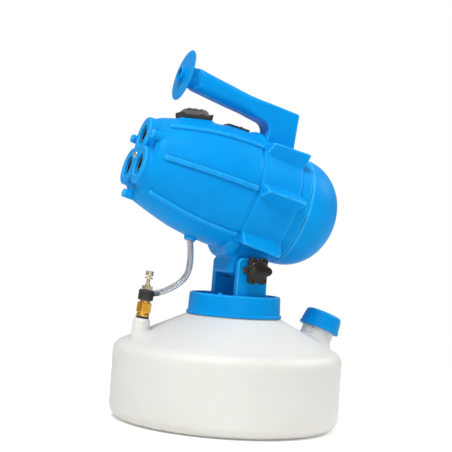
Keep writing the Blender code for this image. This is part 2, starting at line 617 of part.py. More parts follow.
def build_liquid_parts(head):
    plate = [(0.0, -106.5), (40.0, -106.5), (40.0, -105.5), (0.0, -105.5)]
    electrode = add("hv_electrode", turned("hv_electrode", plate, MEDIUM, "Y"), "steel", parent=head)
    hub = [(0.0, -98.0), (8.0, -98.0), (8.0, -90.0), (0.0, -90.0)]
    manifold = add("liquid_manifold", turned("liquid_manifold", hub, TINY, "Y"), "black", parent=head)
    for index, angle in enumerate(NOZZLE_ANGLES, 1):
        x, h = round_head(angle, NOZZLE_CIRCLE)
        arm = block("arm", (-3.5, -97.0, 0.0), (3.5, -91.0, NOZZLE_CIRCLE))
        boolean(manifold, add("arm_form_%d" % index, arm, parent=head,
                              rotation=(0, math.radians(90 - angle), 0)), "UNION")
        socket = turned("socket", [(0, -98), (5.5, -98), (5.5, -90), (0, -90)], TINY, "Y")
        boolean(manifold, add("socket_form_%d" % index, socket, parent=head, location=(x, 0, h)),
                "UNION")
    screw_room = turned("screw_room", [(0, -120), (2.4, -120), (2.4, -96), (0, -96)], TINY, "Y")
    screw_room = add("screw_room", screw_room, parent=head)
    boolean(manifold, screw_room)
    boolean(electrode, screw_room)
    for index, angle in enumerate(NOZZLE_ANGLES, 1):
        x, h = round_head(angle, NOZZLE_CIRCLE)
        hole = turned("sleeve_room", [(0, -120), (11.3, -120), (11.3, -100), (0, -100)], SMALL, "Y")
        boolean(electrode, add("sleeve_room_%d" % index, hole, parent=head, location=(x, 0, h)))
        hole = turned("jet_room", [(0, -120), (2.7, -120), (2.7, -93), (0, -93)], TINY, "Y")
        boolean(manifold, add("jet_room_%d" % index, hole, parent=head, location=(x, 0, h)))

    turn = [(HOSE_EXIT_S - 18.0 + 18.0 * math.cos(a), -38.0 + 18.0 * math.sin(a))
            for a in (math.radians(t) for t in (20, 50, 80))]
    path = [(HOSE_EXIT_S, -56.0), (HOSE_EXIT_S, -42.0)] + turn
    path += [(-74.0, -10.0), (-80.0, -1.5), (-85.0, 0.0), (-89.4, 0.0)]
    path = [(0.0, s, h) for s, h in path]
    add("feed_hose", swept("feed_hose", path, 3.0, 8, 2.0), "clear", parent=head)
    stub = [(0.0, HOSE_EXIT_S, -57.0), (0.0, HOSE_EXIT_S, -70.0), (0.0, HOSE_EXIT_S - 0.8, -75.0),
            (0.0, HOSE_EXIT_S - 2.6, -80.0)]
    add("hose_upper", swept("hose_upper", stub, HOSE_RADIUS, TINY, HOSE_BORE), "clear", parent=head)
    ring = [(3.8, -70.6), (6.0, -70.6), (6.0, -69.9), (4.9, -69.9), (4.9, -62.0), (3.8, -62.0)]
    add("hose_grommet", turned("hose_grommet", ring, TINY), "rubber", parent=head,
        location=(0, HOSE_EXIT_S, 0))


def build_handle(head):
    """An L-shaped hollow grip: a post behind, a bar above the barrel and a round neck in front."""
    outline = [(-92.0, 90.8), (-60.0, 88.5), (-20.0, 86.5)]
    outline += arc((-3.0, 76.5), 10.0, 85, 5, 4)
    outline += [(6.5, 70.0), (6.0, 58.0), (44.0, 58.0), (42.3, 72.0), (37.2, 106.8), (35.5, 107.9),
                (-12.0, 107.9), (-50.0, 110.6), (-92.0, 115.4)]
    half = HANDLE_HALF_WIDTH
    handle = add("handle", prism("handle", outline, -half, half, "X"), "blue", parent=head)
    bevel(handle, 2.6, angle=50.0)
    neck = turned("neck_form", [(0, -103.9), (12.3, -103.9), (12.3, -86.0), (0, -86.0)], SMALL, "Y")
    boolean(handle, add("neck_form", neck, parent=head, location=(0, 0, GUARD_H)), "UNION")
    seat = [(0.0, -60.0)] + [(barrel_radius(s) + GAP, s) for s in (-60, -45, -20, -9, -5, -2, 60)]
    seat += [(0.0, 60.0)]
    boolean(handle, add("handle_seat", turned("handle_seat", seat, LARGE, "Y"), parent=head))
    boolean(handle, add("saddle_room", saddle("saddle_room", GAP), parent=head))
    hollow = [(-84.0, 93.6), (-20.0, 89.4), (4.0, 87.0), (9.0, 80.0), (9.0, 50.0), (38.0, 50.0),
              (39.6, 72.0), (34.8, 105.1), (-12.0, 105.1), (-84.0, 111.8)]
    space = prism("handle_space", hollow, -half + 2.6, half - 2.6, "X")
    boolean(handle, add("handle_space", space, parent=head))
    mouth = turned("neck_bore", [(0, -110), (9.6, -110), (9.6, -80), (0, -80)], SMALL, "Y")
    boolean(handle, add("neck_bore", mouth, parent=head, location=(0, 0, GUARD_H)))
    guard = [(6.9, GUARD_S - 6.2), (8.8, GUARD_S - 6.2), (9.0, GUARD_S - 5.8), (9.0, GUARD_S - 1.0),
             (GUARD_RADIUS - 0.5, GUARD_S - 1.0), (GUARD_RADIUS, GUARD_S - 0.5),
             (GUARD_RADIUS, GUARD_S + 0.8), (9.2, GUARD_S + 0.8), (9.2, GUARD_S + 12.0),
             (6.9, GUARD_S + 12.0)]
    add("handle_guard", turned("handle_guard", guard, MEDIUM, "Y"), "blue", parent=head,
        location=(0, 0, GUARD_H))
    lead = [(0.0, GUARD_S - 3.0, GUARD_H), (0.0, -80.0, 102.4), (0.0, -10.0, 97.4), (0.0, 4.0, 94.5),
            (0.0, 11.5, 88.0), (0.0, LEAD_S, 79.0), (0.0, LEAD_S, 44.0)]
    add("power_lead", swept("power_lead", lead, 3.2, 8), "black", parent=head)


# ---------------------------------------------------------------- switches

def build_switch(seat, name, length, width, height, rocker_kind):
    """A snap-in rocker switch: a rimmed frame with its body below, and the rocker on its pivot."""
    half_l, half_w = length / 2, width / 2
    frame = add(name + "_switch", block(name + "_switch", (-half_w, -half_l, GAP), (half_w, half_l, height)),
                "black", parent=seat)
    bevel(frame, 0.8, angle=60.0)
    body = block(name + "_body", (-half_w + 3.4, -half_l + 3.4, -19.0), (half_w - 3.4, half_l - 3.4, 1.0))
    boolean(frame, add(name + "_body", body, parent=seat), "UNION")
    open_l, open_w = half_l - 5.6, half_w - 5.6
    window = block(name + "_window", (-open_w, -open_l, -8.5), (open_w, open_l, 20.0))
    boolean(frame, add(name + "_window", window, parent=seat))
    reach = open_l - 1.0
    side = [(-reach, -3.0), (reach, -3.0), (reach, height + 0.4), (reach - 2.0, height + 1.6),
            (0.0, height - 0.2), (2.0 - reach, height + 1.6), (-reach, height + 0.4)]
    rocker = prism(name + "_rocker", side, 0.6 - open_w, open_w - 0.6, "X")
    add(name + "_rocker", rocker, rocker_kind, parent=seat, rotation=(ROCKER_THROW, 0.0, 0.0))


def build_boot(seat):
    """Clear flexible cover over the main rocker, open underneath."""
    def skin(inset):
        rings = []
        for z, half_w, half_l in ((5.3, 10.6, 15.6), (8.2, 10.2, 15.0), (11.6, 8.6, 12.6), (13.2, 5.6, 8.4)):
            half_w, half_l = half_w - inset, half_l - inset
            cut = 2.6
            rings.append([(half_w, -half_l + cut, z), (half_w, half_l - cut, z), (half_w - cut, half_l, z),
                          (-half_w + cut, half_l, z), (-half_w, half_l - cut, z),
                          (-half_w, -half_l + cut, z), (-half_w + cut, -half_l, z),
                          (half_w - cut, -half_l, z)])
        return rings
    boot = add("switch_boot", mesh_of(skin(0.0), "switch_boot"), "clear", parent=seat)
    inner = [[(x, y, z - 0.9) for x, y, z in ring] for ring in skin(0.9)]
    boolean(boot, add("boot_space", mesh_of(inner, "boot_space"), parent=seat))


# ---------------------------------------------------------------- motor and fan

def build_motor(head):
    wall = 2.4
    can = [(BAND_RADIUS, 20.0), (BAND_RADIUS, BAND_END), (BAND_RADIUS - wall, BAND_END),
           (BAND_RADIUS - wall, 20.0)]
    housing = add("motor_housing", turned("motor_housing", can, LARGE, "Y"), "blue", parent=head)
    for angle in FEATURE_ANGLES:
        slot = block("inlet_slot", (-5.0, 26.0, 55.0), (5.0, 44.0, 70.0))
        boolean(housing, add("inlet_slot_%d" % (angle % 360), slot, parent=head,
                             rotation=(0, math.radians(90 - angle), 0)))
    steps = 6
    dome = [(BAND_RADIUS * math.cos(math.pi / 2 * i / steps),
             DOME_START + (DOME_END - DOME_START) * math.sin(math.pi / 2 * i / steps))
            for i in range(steps)]
    inner = [(r * 0.958, DOME_START + (s - DOME_START) * 0.955) for r, s in dome]
    dome += [(0.0, DOME_END)]
    inner += [(0.0, DOME_START + (DOME_END - DOME_START) * 0.955)]
    add("rear_cover", turned("rear_cover", dome + inner[::-1], LARGE, "Y"), "blue", parent=head)

    bracket = [(13.3, 50.0), (60.3, 50.0), (60.3, 58.0), (57.8, 58.0), (57.8, 52.4), (17.0, 52.4),
               (17.0, 58.5), (13.3, 58.5)]
    add("front_bracket", turned("front_bracket", bracket, MEDIUM, "Y"), "steel", parent=head)
    shroud = [(19.0, 46.0), (57.0, 46.0), (57.0, 24.0), (59.4, 24.0), (59.4, 48.4), (19.0, 48.4)]
    add("fan_shroud", turned("fan_shroud", shroud, MEDIUM, "Y"), "black", parent=head)
    stator = [(24.0, 64.0), (39.0, 64.0), (39.0, 92.0), (24.0, 92.0)]
    add("stator", turned("stator", stator, MEDIUM, "Y"), "steel", parent=head)
    bracket = [(11.3, 99.0), (14.0, 99.0), (14.0, 93.6), (36.0, 93.6), (36.0, 95.8), (16.2, 95.8),
               (16.2, 106.0), (11.3, 106.0)]
    add("rear_bracket", turned("rear_bracket", bracket, MEDIUM, "Y"), "steel", parent=head)
    bearings = (("front_bearing", 13.0, 51.0, 58.0), ("rear_bearing", 11.0, 99.3, 105.7))
    for name, outer, start, end in bearings:
        ring = [(4.4, start), (outer, start), (outer, end), (4.4, end)]
        add(name, turned(name, ring, SMALL, "Y"), "steel", parent=head)
    box = block("hv_module", (-24.0, -66.0, -8.0), (24.0, -8.0, 26.0))
    module = add("hv_module", box, "potting", parent=head)
    bevel(module, 2.0)


def build_rotor(rotor):
    shaft = [(0.0, 28.0), (4.0, 28.0), (4.0, 107.5), (0.0, 107.5)]
    add("motor_shaft", turned("motor_shaft", shaft, TINY, "Y"), "steel", parent=rotor)
    core = [(4.3, 65.0), (23.3, 65.0), (23.3, 91.0), (4.3, 91.0)]
    add("armature", turned("armature", core, SMALL, "Y"), "copper", parent=rotor)
    ring = [(4.3, 92.0), (10.5, 92.0), (10.5, 98.4), (4.3, 98.4)]
    add("commutator", turned("commutator", ring, TINY, "Y"), "copper", parent=rotor)
    wheel = [(4.3, 30.0), (9.0, 30.0), (9.0, 40.0), (54.0, 42.6), (54.0, 44.6), (4.3, 44.6)]
    fan = add("fan_wheel", turned("fan_wheel", wheel, MEDIUM, "Y"), "steel", parent=rotor)
    for blade in range(8):
        fin = block("blade", (7.5, 28.0, -0.8), (52.0, 43.5, 0.8))
        form = add("blade_form_%d" % blade, fin, parent=rotor, rotation=(0, math.tau * blade / 8, 0))
        boolean(fan, form, "UNION")


def build_head(pivot):
    head = empty("head_axis", (0.0, -PIVOT_S, -PIVOT_H), parent=pivot)
    power_seat = empty("power_seat", (0.0, -78.0, 59.6), math.radians(14.0), head)
    hv_seat = empty("hv_seat", (0.0, -27.0, 66.9), math.radians(3.0), head)
    seats = (("power_hole", power_seat, (9.6, 15.2)), ("hv_hole", hv_seat, (7.6, 11.2)))
    build_casing(head, seats)
    build_tilt_lug(head)
    build_nose(head)
    build_liquid_parts(head)
    build_handle(head)
    build_switch(power_seat, "power", 37.0, 25.0, 5.0, "red")
    build_boot(power_seat)
    build_switch(hv_seat, "hv", 28.0, 20.0, 3.0, "black")
    build_motor(head)
    build_rotor(empty("rotor_axis", (0, 0, 0), parent=head))


def build_all():
    remove_scene_objects()
    neck = empty("neck_axis", (0.0, NECK_OFFSET, 0.0))
    valve = empty("valve_axis", BOSS_TOP, -VALVE_LEAN)
    filler = empty("filler_axis", FILLER_FLANGE, -FILLER_LEAN)
    build_tank(valve, filler)
    build_neck_gasket(neck)
    build_yoke(neck)
    build_collar(neck)
    build_filler(filler)
    build_valve(valve)
    build_dip_tube()
    build_lower_hose()
    build_clamp()
    build_head(empty("head_pivot", PIVOT, -HEAD_TILT))


build_all()
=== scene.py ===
import json
import math

import bpy
import numpy as np
from mathutils import Matrix, Vector


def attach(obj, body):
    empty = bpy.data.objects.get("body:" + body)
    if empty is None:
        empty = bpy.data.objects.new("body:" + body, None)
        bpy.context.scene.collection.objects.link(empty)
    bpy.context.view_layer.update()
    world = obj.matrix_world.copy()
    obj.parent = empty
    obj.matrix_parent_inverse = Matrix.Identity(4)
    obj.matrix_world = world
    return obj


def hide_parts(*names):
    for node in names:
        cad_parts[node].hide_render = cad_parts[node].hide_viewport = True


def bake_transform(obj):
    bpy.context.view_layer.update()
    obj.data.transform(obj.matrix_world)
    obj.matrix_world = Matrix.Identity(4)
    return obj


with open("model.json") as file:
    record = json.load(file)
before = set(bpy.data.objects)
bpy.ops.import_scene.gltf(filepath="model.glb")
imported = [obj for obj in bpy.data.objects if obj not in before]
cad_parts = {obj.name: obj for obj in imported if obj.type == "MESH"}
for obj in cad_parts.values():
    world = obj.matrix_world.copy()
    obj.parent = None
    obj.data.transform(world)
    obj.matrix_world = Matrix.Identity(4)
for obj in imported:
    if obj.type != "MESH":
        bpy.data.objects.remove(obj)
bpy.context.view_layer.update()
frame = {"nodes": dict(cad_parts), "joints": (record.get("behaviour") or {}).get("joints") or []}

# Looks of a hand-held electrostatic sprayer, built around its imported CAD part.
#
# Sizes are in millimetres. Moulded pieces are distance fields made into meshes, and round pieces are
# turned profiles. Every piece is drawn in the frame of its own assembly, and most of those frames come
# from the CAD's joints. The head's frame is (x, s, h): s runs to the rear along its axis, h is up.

MM = 0.001

# Head
FEATURES = (-48.0, 1.5, 48.0)
CASING_FRONT = -121.8
CASING_REAR = 45.6
CASING_CURVE = ((-140, 41.0), (-117, 48.0), (-95, 55.0), (-68, 62.3), (-45, 65.8), (-20, 67.3),
                (-8, 67.4), (0, 67.0), (60, 66.2))
POCKET_RADIUS = 63.9
POCKET_START = 14.0
BAND_RADIUS = 63.2
SEAM = 60.5
SEAM_GAP = 0.45
DOME_END = 118.0
NOSE_FACE = -129.5
NOZZLE_CIRCLE = 23.3
NOZZLE_ANGLES = (90.0, -30.0, 210.0)
NOZZLE_BORE = 11.2
LOBE_RADIUS = 21.5
PEG_CIRCLE = 44.0
PEG_ANGLES = (30.0, 150.0, 270.0)
HOSE_EXIT = -40.3
GUARD_S = -105.0
GUARD_H = 103.2
POWER_TILT = math.radians(14.0)
HV_TILT = math.radians(3.0)
ROCKER_THROW = math.radians(7.0)

# Tank, neck and yoke
NECK_Y = 4.0
TANK_WALL = 3.8
NECK_TOP = 135.3


# ---------------------------------------------------------------- frames

JOINTS = {joint["name"]: joint for joint in frame["joints"]}


def columns(x, y, z, origin):
    matrix = Matrix((x, y, z)).transposed().to_4x4()
    matrix.translation = origin
    return matrix


def joint_frame(name):
    """Frame at a joint, in millimetres, whose z is the joint's axis."""
    z = Vector(JOINTS[name]["axis"])
    x = Vector((1, 0, 0)) if abs(z.x) < 0.5 else Vector((0, 1, 0))
    return columns(x, z.cross(x), z, Vector(JOINTS[name]["pos_m"]) / MM)


def head_frame():
    x, s = Vector((1, 0, 0)), Vector(JOINTS["rotor_spin"]["axis"])
    return columns(x, s, x.cross(s), Vector(JOINTS["rotor_spin"]["pos_m"]) / MM)


def aimed(base, origin, axis):
    """A frame inside base whose z points along axis."""
    turn = Vector((0, 0, 1)).rotation_difference(Vector(axis)).to_matrix().to_4x4()
    return base @ Matrix.Translation(Vector(origin)) @ turn


def seat_frame(joint, tilt):
    """Frame on the casing under a switch: y along the switch, z out of the casing."""
    matrix = HEAD @ Matrix.Rotation(tilt, 4, "X")
    matrix.translation = Vector(JOINTS[joint]["pos_m"]) / MM
    return matrix


ROW = Matrix.Identity(4)
HEAD = head_frame()
VALVE = joint_frame("flow_turn")
FILLER = joint_frame("cap_turn")
CLAMP = joint_frame("clamp_turn")
NECK = Matrix.Translation(Vector((0.0, NECK_Y, 0.0)))
POWER_SEAT = seat_frame("power_press", POWER_TILT)
HV_SEAT = seat_frame("hv_press", HV_TILT)

# Half widths and half lengths of what the casing has at each switch
SWITCH_PADS = ((POWER_SEAT, 13.2, 19.2), (HV_SEAT, 10.6, 14.6))
SWITCH_WINDOWS = ((POWER_SEAT, 9.6, 15.2), (HV_SEAT, 7.6, 11.2))


def seen_from(points, source, target):
    """Points of one frame in the coordinates of another."""
    change = np.array(target.inverted() @ source)
    return points @ change[:3, :3].T + change[:3, 3]


# ---------------------------------------------------------------- distance fields

def smooth_min(a, b, reach):
    blend = np.maximum(reach - np.abs(a - b), 0.0) / reach
    return np.minimum(a, b) - blend * blend * reach / 4


def smooth_max(a, b, reach):
    return -smooth_min(-a, -b, reach)


def joined(a, b, radius):
    """Where two distances are both negative, with the edge between them rounded."""
    a, b = a + radius, b + radius
    return np.minimum(np.maximum(a, b), 0) + np.hypot(np.maximum(a, 0), np.maximum(b, 0)) - radius


def span(value, low, high):
    return np.abs(value - (low + high) / 2) - (high - low) / 2


def rounded_box(coordinates, ranges, radius):
    sides = [span(c, low, high) + radius for c, (low, high) in zip(coordinates, ranges)]
    outside = np.sqrt(sum(np.maximum(side, 0) ** 2 for side in sides))
    return outside + np.minimum(np.maximum.reduce(sides), 0) - radius


def rod(across, along, radius, start, end, rounding):
    return joined(across - radius, span(along, start, end), rounding)


def polygon(u, v, outline):
    """Distance to a closed outline, negative inside."""
    nearest = np.full(u.shape, 1e12)
    inside = np.zeros(u.shape, bool)
    for (u0, v0), (u1, v1) in zip(outline, outline[1:] + outline[:1]):
        du, dv = u1 - u0, v1 - v0
        pu, pv = u - u0, v - v0
        part = np.clip((pu * du + pv * dv) / (du * du + dv * dv), 0, 1)
        nearest = np.minimum(nearest, (pu - part * du) ** 2 + (pv - part * dv) ** 2)
        slope = du / dv if dv else 0.0
        inside ^= ((v0 > v) != (v1 > v)) & (pu < pv * slope)
    return np.where(inside, -1, 1) * np.sqrt(nearest)


def rounded(corners, steps=6):
    """Points of an outline whose corners (a, b, radius) are rounded off."""
    points = []
    for i, (a, b, radius) in enumerate(corners):
        if radius == 0:
            points.append((a, b))
            continue
        here = Vector((a, b))
        before = Vector(corners[i - 1][:2]) - here
        after = Vector(corners[(i + 1) % len(corners)][:2]) - here
        half = before.angle(after) / 2
        reach = min(radius / math.tan(half), 0.49 * before.length, 0.49 * after.length)
        radius = reach * math.tan(half)
        centre = here + (before.normalized() + after.normalized()).normalized() * radius / math.sin(half)
        start = here + before.normalized() * reach - centre
        end = here + after.normalized() * reach - centre
        for k in range(steps + 1):
            spot = centre + start.lerp(end, k / steps).normalized() * radius
            points.append((spot.x, spot.y))
    return points


def hexagon(across_flats):
    radius = across_flats / math.sqrt(3.0)
    return [(radius * math.cos(math.radians(60 * i + 30)), radius * math.sin(math.radians(60 * i + 30)))
            for i in range(6)]


# ---------------------------------------------------------------- meshes

def sample_grid(field, low, count, cell):
    """Field values on a grid of blocks of 8 cells; a block far from the surface has one value."""
    blocks = np.stack(np.meshgrid(*[np.arange(n) for n in count], indexing="ij"), -1).reshape(-1, 3)
    centres = field(low + (blocks * 8 + 4) * cell)
    coarse = centres.reshape(count)
    for axis in range(3):
        coarse = np.repeat(coarse, 8, axis)
    values = np.pad(coarse, ((0, 1),) * 3, mode="edge")
    offsets = np.stack(np.meshgrid(*[np.arange(9)] * 3, indexing="ij"), -1).reshape(-1, 3)
    near = blocks[np.abs(centres) < 4 * cell * math.sqrt(3) * 1.35]
    for start in range(0, len(near), 400):
        spots = (near[start:start + 400, None, :] * 8 + offsets).reshape(-1, 3)
        values[tuple(spots.T)] = field(low + spots * cell)
    return values


def surface_nets(values):
    """Vertices (in cells) and quads of the surface where the values change sign."""
    size = np.array(values.shape)
    cells, crossings = [], []
    for axis in range(3):
        first = values[tuple(slice(0, -1) if k == axis else slice(None) for k in range(3))]
        second = values[tuple(slice(1, None) if k == axis else slice(None) for k in range(3))]
        edges = np.argwhere((first < 0) != (second < 0))
        here, there = first[tuple(edges.T)], second[tuple(edges.T)]
        points = edges.astype(float)
        points[:, axis] += here / (here - there)
        u, v = np.eye(3, dtype=int)[(axis + 1) % 3], np.eye(3, dtype=int)[(axis + 2) % 3]
        around = np.stack([edges, edges - u, edges - u - v, edges - v], 1)
        around[here >= 0] = around[here >= 0][:, ::-1]
        cells.append(np.ravel_multi_index(tuple(around.reshape(-1, 3).T), size).reshape(-1, 4))
        crossings.append(np.repeat(points[:, None], 4, 1).reshape(-1, 3))
    cells, crossings = np.concatenate(cells), np.concatenate(crossings)
    used, index = np.unique(cells.ravel(), return_inverse=True)
    share = np.bincount(index)
    points = np.stack([np.bincount(index, crossings[:, k]) / share for k in range(3)], 1)
    return points, index.reshape(-1, 4)


def sculpted(field, low, high, cell):
    """Points and quads of a field's surface, with each point moved onto it."""
    low = np.array(low, float) - 2 * cell
    count = np.ceil((np.array(high, float) + 2 * cell - low) / cell / 8).astype(int)
    points, quads = surface_nets(sample_grid(field, low, count, cell))
    points = low + points * cell
    step = 0.05 * cell
    for _ in range(2):
        value = field(points)
        slope = np.stack([(field(points + step * axis) - value) / step for axis in np.eye(3)], 1)
        move = -(value / np.maximum((slope ** 2).sum(1), 0.25))[:, None] * slope
        points = points + np.clip(move, -0.6 * cell, 0.6 * cell)
    return points, quads


def turned(outline, steps=96, wave=None):
    """An outline of (radius, height) turned about z. wave(turn, height) lifts its skin."""
    turns = np.arange(steps) * math.tau / steps
    points, rings, faces = [], [], []
    for radius, height in outline:
        if radius == 0:
            rings.append([len(points)])
            points.append((0.0, 0.0, height))
            continue
        lifted = radius + (wave(turns, height) if wave else 0.0 * turns)
        rings.append(list(range(len(points), len(points) + steps)))
        points += zip(lifted * np.cos(turns), lifted * np.sin(turns), [height] * steps)
    solid = outline[0][0] == 0 and outline[-1][0] == 0
    for low, high in zip(rings, rings[1:] + ([] if solid else rings[:1])):
        for i in range(steps):
            j = (i + 1) % steps
            quad = [low[i % len(low)], low[j % len(low)], high[j % len(high)], high[i % len(high)]]
            face = list(dict.fromkeys(quad))
            if len(face) > 2:
                faces.append(face)
    return np.array(points), faces


def swept(path, radius, bore, sides=20):
    """A tube along a path in a plane of constant x."""
    path = np.array(path, float)
    ahead = np.gradient(path, axis=0)
    ahead /= np.linalg.norm(ahead, axis=1)[:, None]
    side = np.array((1.0, 0.0, 0.0))
    other = np.cross(ahead, side)
    turns = np.arange(sides) * math.tau / sides
    ring = np.cos(turns)[None, :, None] * side + np.sin(turns)[None, :, None] * other[:, None, :]
    skin = np.concatenate([path[:, None] + ring * radius, (path[:, None] + ring * bore)[::-1]])
    rows = len(skin)
    faces = [(i * sides + k, i * sides + (k + 1) % sides, (i + 1) % rows * sides + (k + 1) % sides,
              (i + 1) % rows * sides + k) for i in range(rows) for k in range(sides)]
    return skin.reshape(-1, 3), faces


def piece(name, shape, matrix, material, body, slot, *nodes, sharp=None):
    """Adds a mesh drawn in a frame. It rides on a body and stands for CAD nodes."""
    points, faces = shape
    change = np.array(matrix)
    points = (np.asarray(points) @ change[:3, :3].T + change[:3, 3]) * MM
    mesh = bpy.data.meshes.new(name)
    mesh.from_pydata(points.tolist(), [], [tuple(face) for face in faces])
    mesh.shade_smooth()
    if sharp:
        mesh.set_sharp_from_angle(angle=math.radians(sharp))
    mesh.materials.append(material)
    obj = bpy.data.objects.new(name, mesh)
    bpy.context.scene.collection.objects.link(obj)
    face_outward(mesh)
    if body:
        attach(obj, body)
    if nodes:
        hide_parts(*nodes)
    return obj


def face_outward(mesh):
    """Turns every face over if the mesh encloses a negative volume."""
    mesh.calc_loop_triangles()
    corners = np.zeros(len(mesh.loop_triangles) * 3, int)
    mesh.loop_triangles.foreach_get("vertices", corners)
    points = np.zeros(len(mesh.vertices) * 3)
    mesh.vertices.foreach_get("co", points)
    a, b, c = points.reshape(-1, 3)[corners.reshape(-1, 3)].transpose(1, 0, 2)
    if (a * np.cross(b, c)).sum() < 0:
        mesh.flip_normals()


# ---------------------------------------------------------------- materials

class Nodes:
    """Adds shader nodes to one material and joins them up."""

    def __init__(self, name):
        self.material = bpy.data.materials.new(name)
        self.material.use_nodes = True
        self.tree = self.material.node_tree
        self.shader = self.tree.nodes["Principled BSDF"]
        self.place = self.add("ShaderNodeTexCoord").outputs["Object"]

    def add(self, kind, **settings):
        node = self.tree.nodes.new(kind)
        for name, value in settings.items():
            setattr(node, name, value)
        return node

    def feed(self, socket, value):
        if isinstance(value, bpy.types.NodeSocket):
            self.tree.links.new(value, socket)
        elif isinstance(value, tuple) and len(value) == 3 and socket.type == "RGBA":
            socket.default_value = (*value, 1.0)
        else:
            socket.default_value = value

    def noise(self, scale, detail=3.0, stretch=None):
        node = self.add("ShaderNodeTexNoise")
        place = self.place
        if stretch:
            mapping = self.add("ShaderNodeMapping")
            self.feed(mapping.inputs["Vector"], place)
            mapping.inputs["Scale"].default_value = stretch
            place = mapping.outputs["Vector"]
        self.feed(node.inputs["Vector"], place)
        self.feed(node.inputs["Scale"], scale)
        self.feed(node.inputs["Detail"], detail)
        return node.outputs["Fac"]

    def ranged(self, value, low, high, new_low, new_high):
        node = self.add("ShaderNodeMapRange")
        for name, number in (("Value", value), ("From Min", low), ("From Max", high), ("To Min", new_low),
                             ("To Max", new_high)):
            self.feed(node.inputs[name], number)
        return node.outputs["Result"]

    def mixed(self, share, first, second):
        node = self.add("ShaderNodeMix", data_type="RGBA")
        self.feed(node.inputs["Factor"], share)
        self.feed(node.inputs[6], first)
        self.feed(node.inputs[7], second)
        return node.outputs[2]

    # Pointiness mask that places the painted edge highlights and the painted hollow shade.
    def edges(self, low, high):
        pointed = self.add("ShaderNodeNewGeometry").outputs["Pointiness"]
        return self.ranged(pointed, low, high, 0.0, 1.0)

    def bumped(self, height, distance, strength=1.0):
        node = self.add("ShaderNodeBump")
        self.feed(node.inputs["Height"], height)
        self.feed(node.inputs["Distance"], distance)
        self.feed(node.inputs["Strength"], strength)
        return node.outputs["Normal"]


def finish(name, dark, light, roughness, patch=28.0, grain=1400.0, depth=0.00003, edge=None, hollow_painted_shade=None,
           metallic=0.0, stretch=None, **extra):
    """A mottled, finely grained surface between two colours, with uneven roughness, a painted highlight
    on its convex edges and painted shade in its hollows."""
    nodes = Nodes(name)
    cloud = nodes.noise(patch, 4.0)
    colour = nodes.mixed(nodes.ranged(cloud, 0.35, 0.65, 0.0, 1.0), dark, light)
    # Painted highlight: convex edges, found by pointiness, get a lighter colour as if light caught them.
    if edge:
        colour = nodes.mixed(nodes.edges(0.51, 0.57), colour, edge)
    # Painted shade: concave hollows and creases, found by pointiness, get a darker colour as if shade fell
    # there.
    if hollow_painted_shade:
        colour = nodes.mixed(nodes.edges(0.49, 0.43), colour, hollow_painted_shade)
    nodes.feed(nodes.shader.inputs["Base Color"], colour)
    grains = nodes.noise(grain, 2.0, stretch)
    rough = nodes.ranged(nodes.noise(patch * 6.0), 0.3, 0.7, roughness[0], roughness[1])
    nodes.feed(nodes.shader.inputs["Roughness"], rough)
    nodes.feed(nodes.shader.inputs["Metallic"], metallic)
    nodes.feed(nodes.shader.inputs["Normal"], nodes.bumped(grains, depth))
    for socket, value in extra.items():
        nodes.feed(nodes.shader.inputs[socket.replace("_", " ")], value)
    return nodes.material


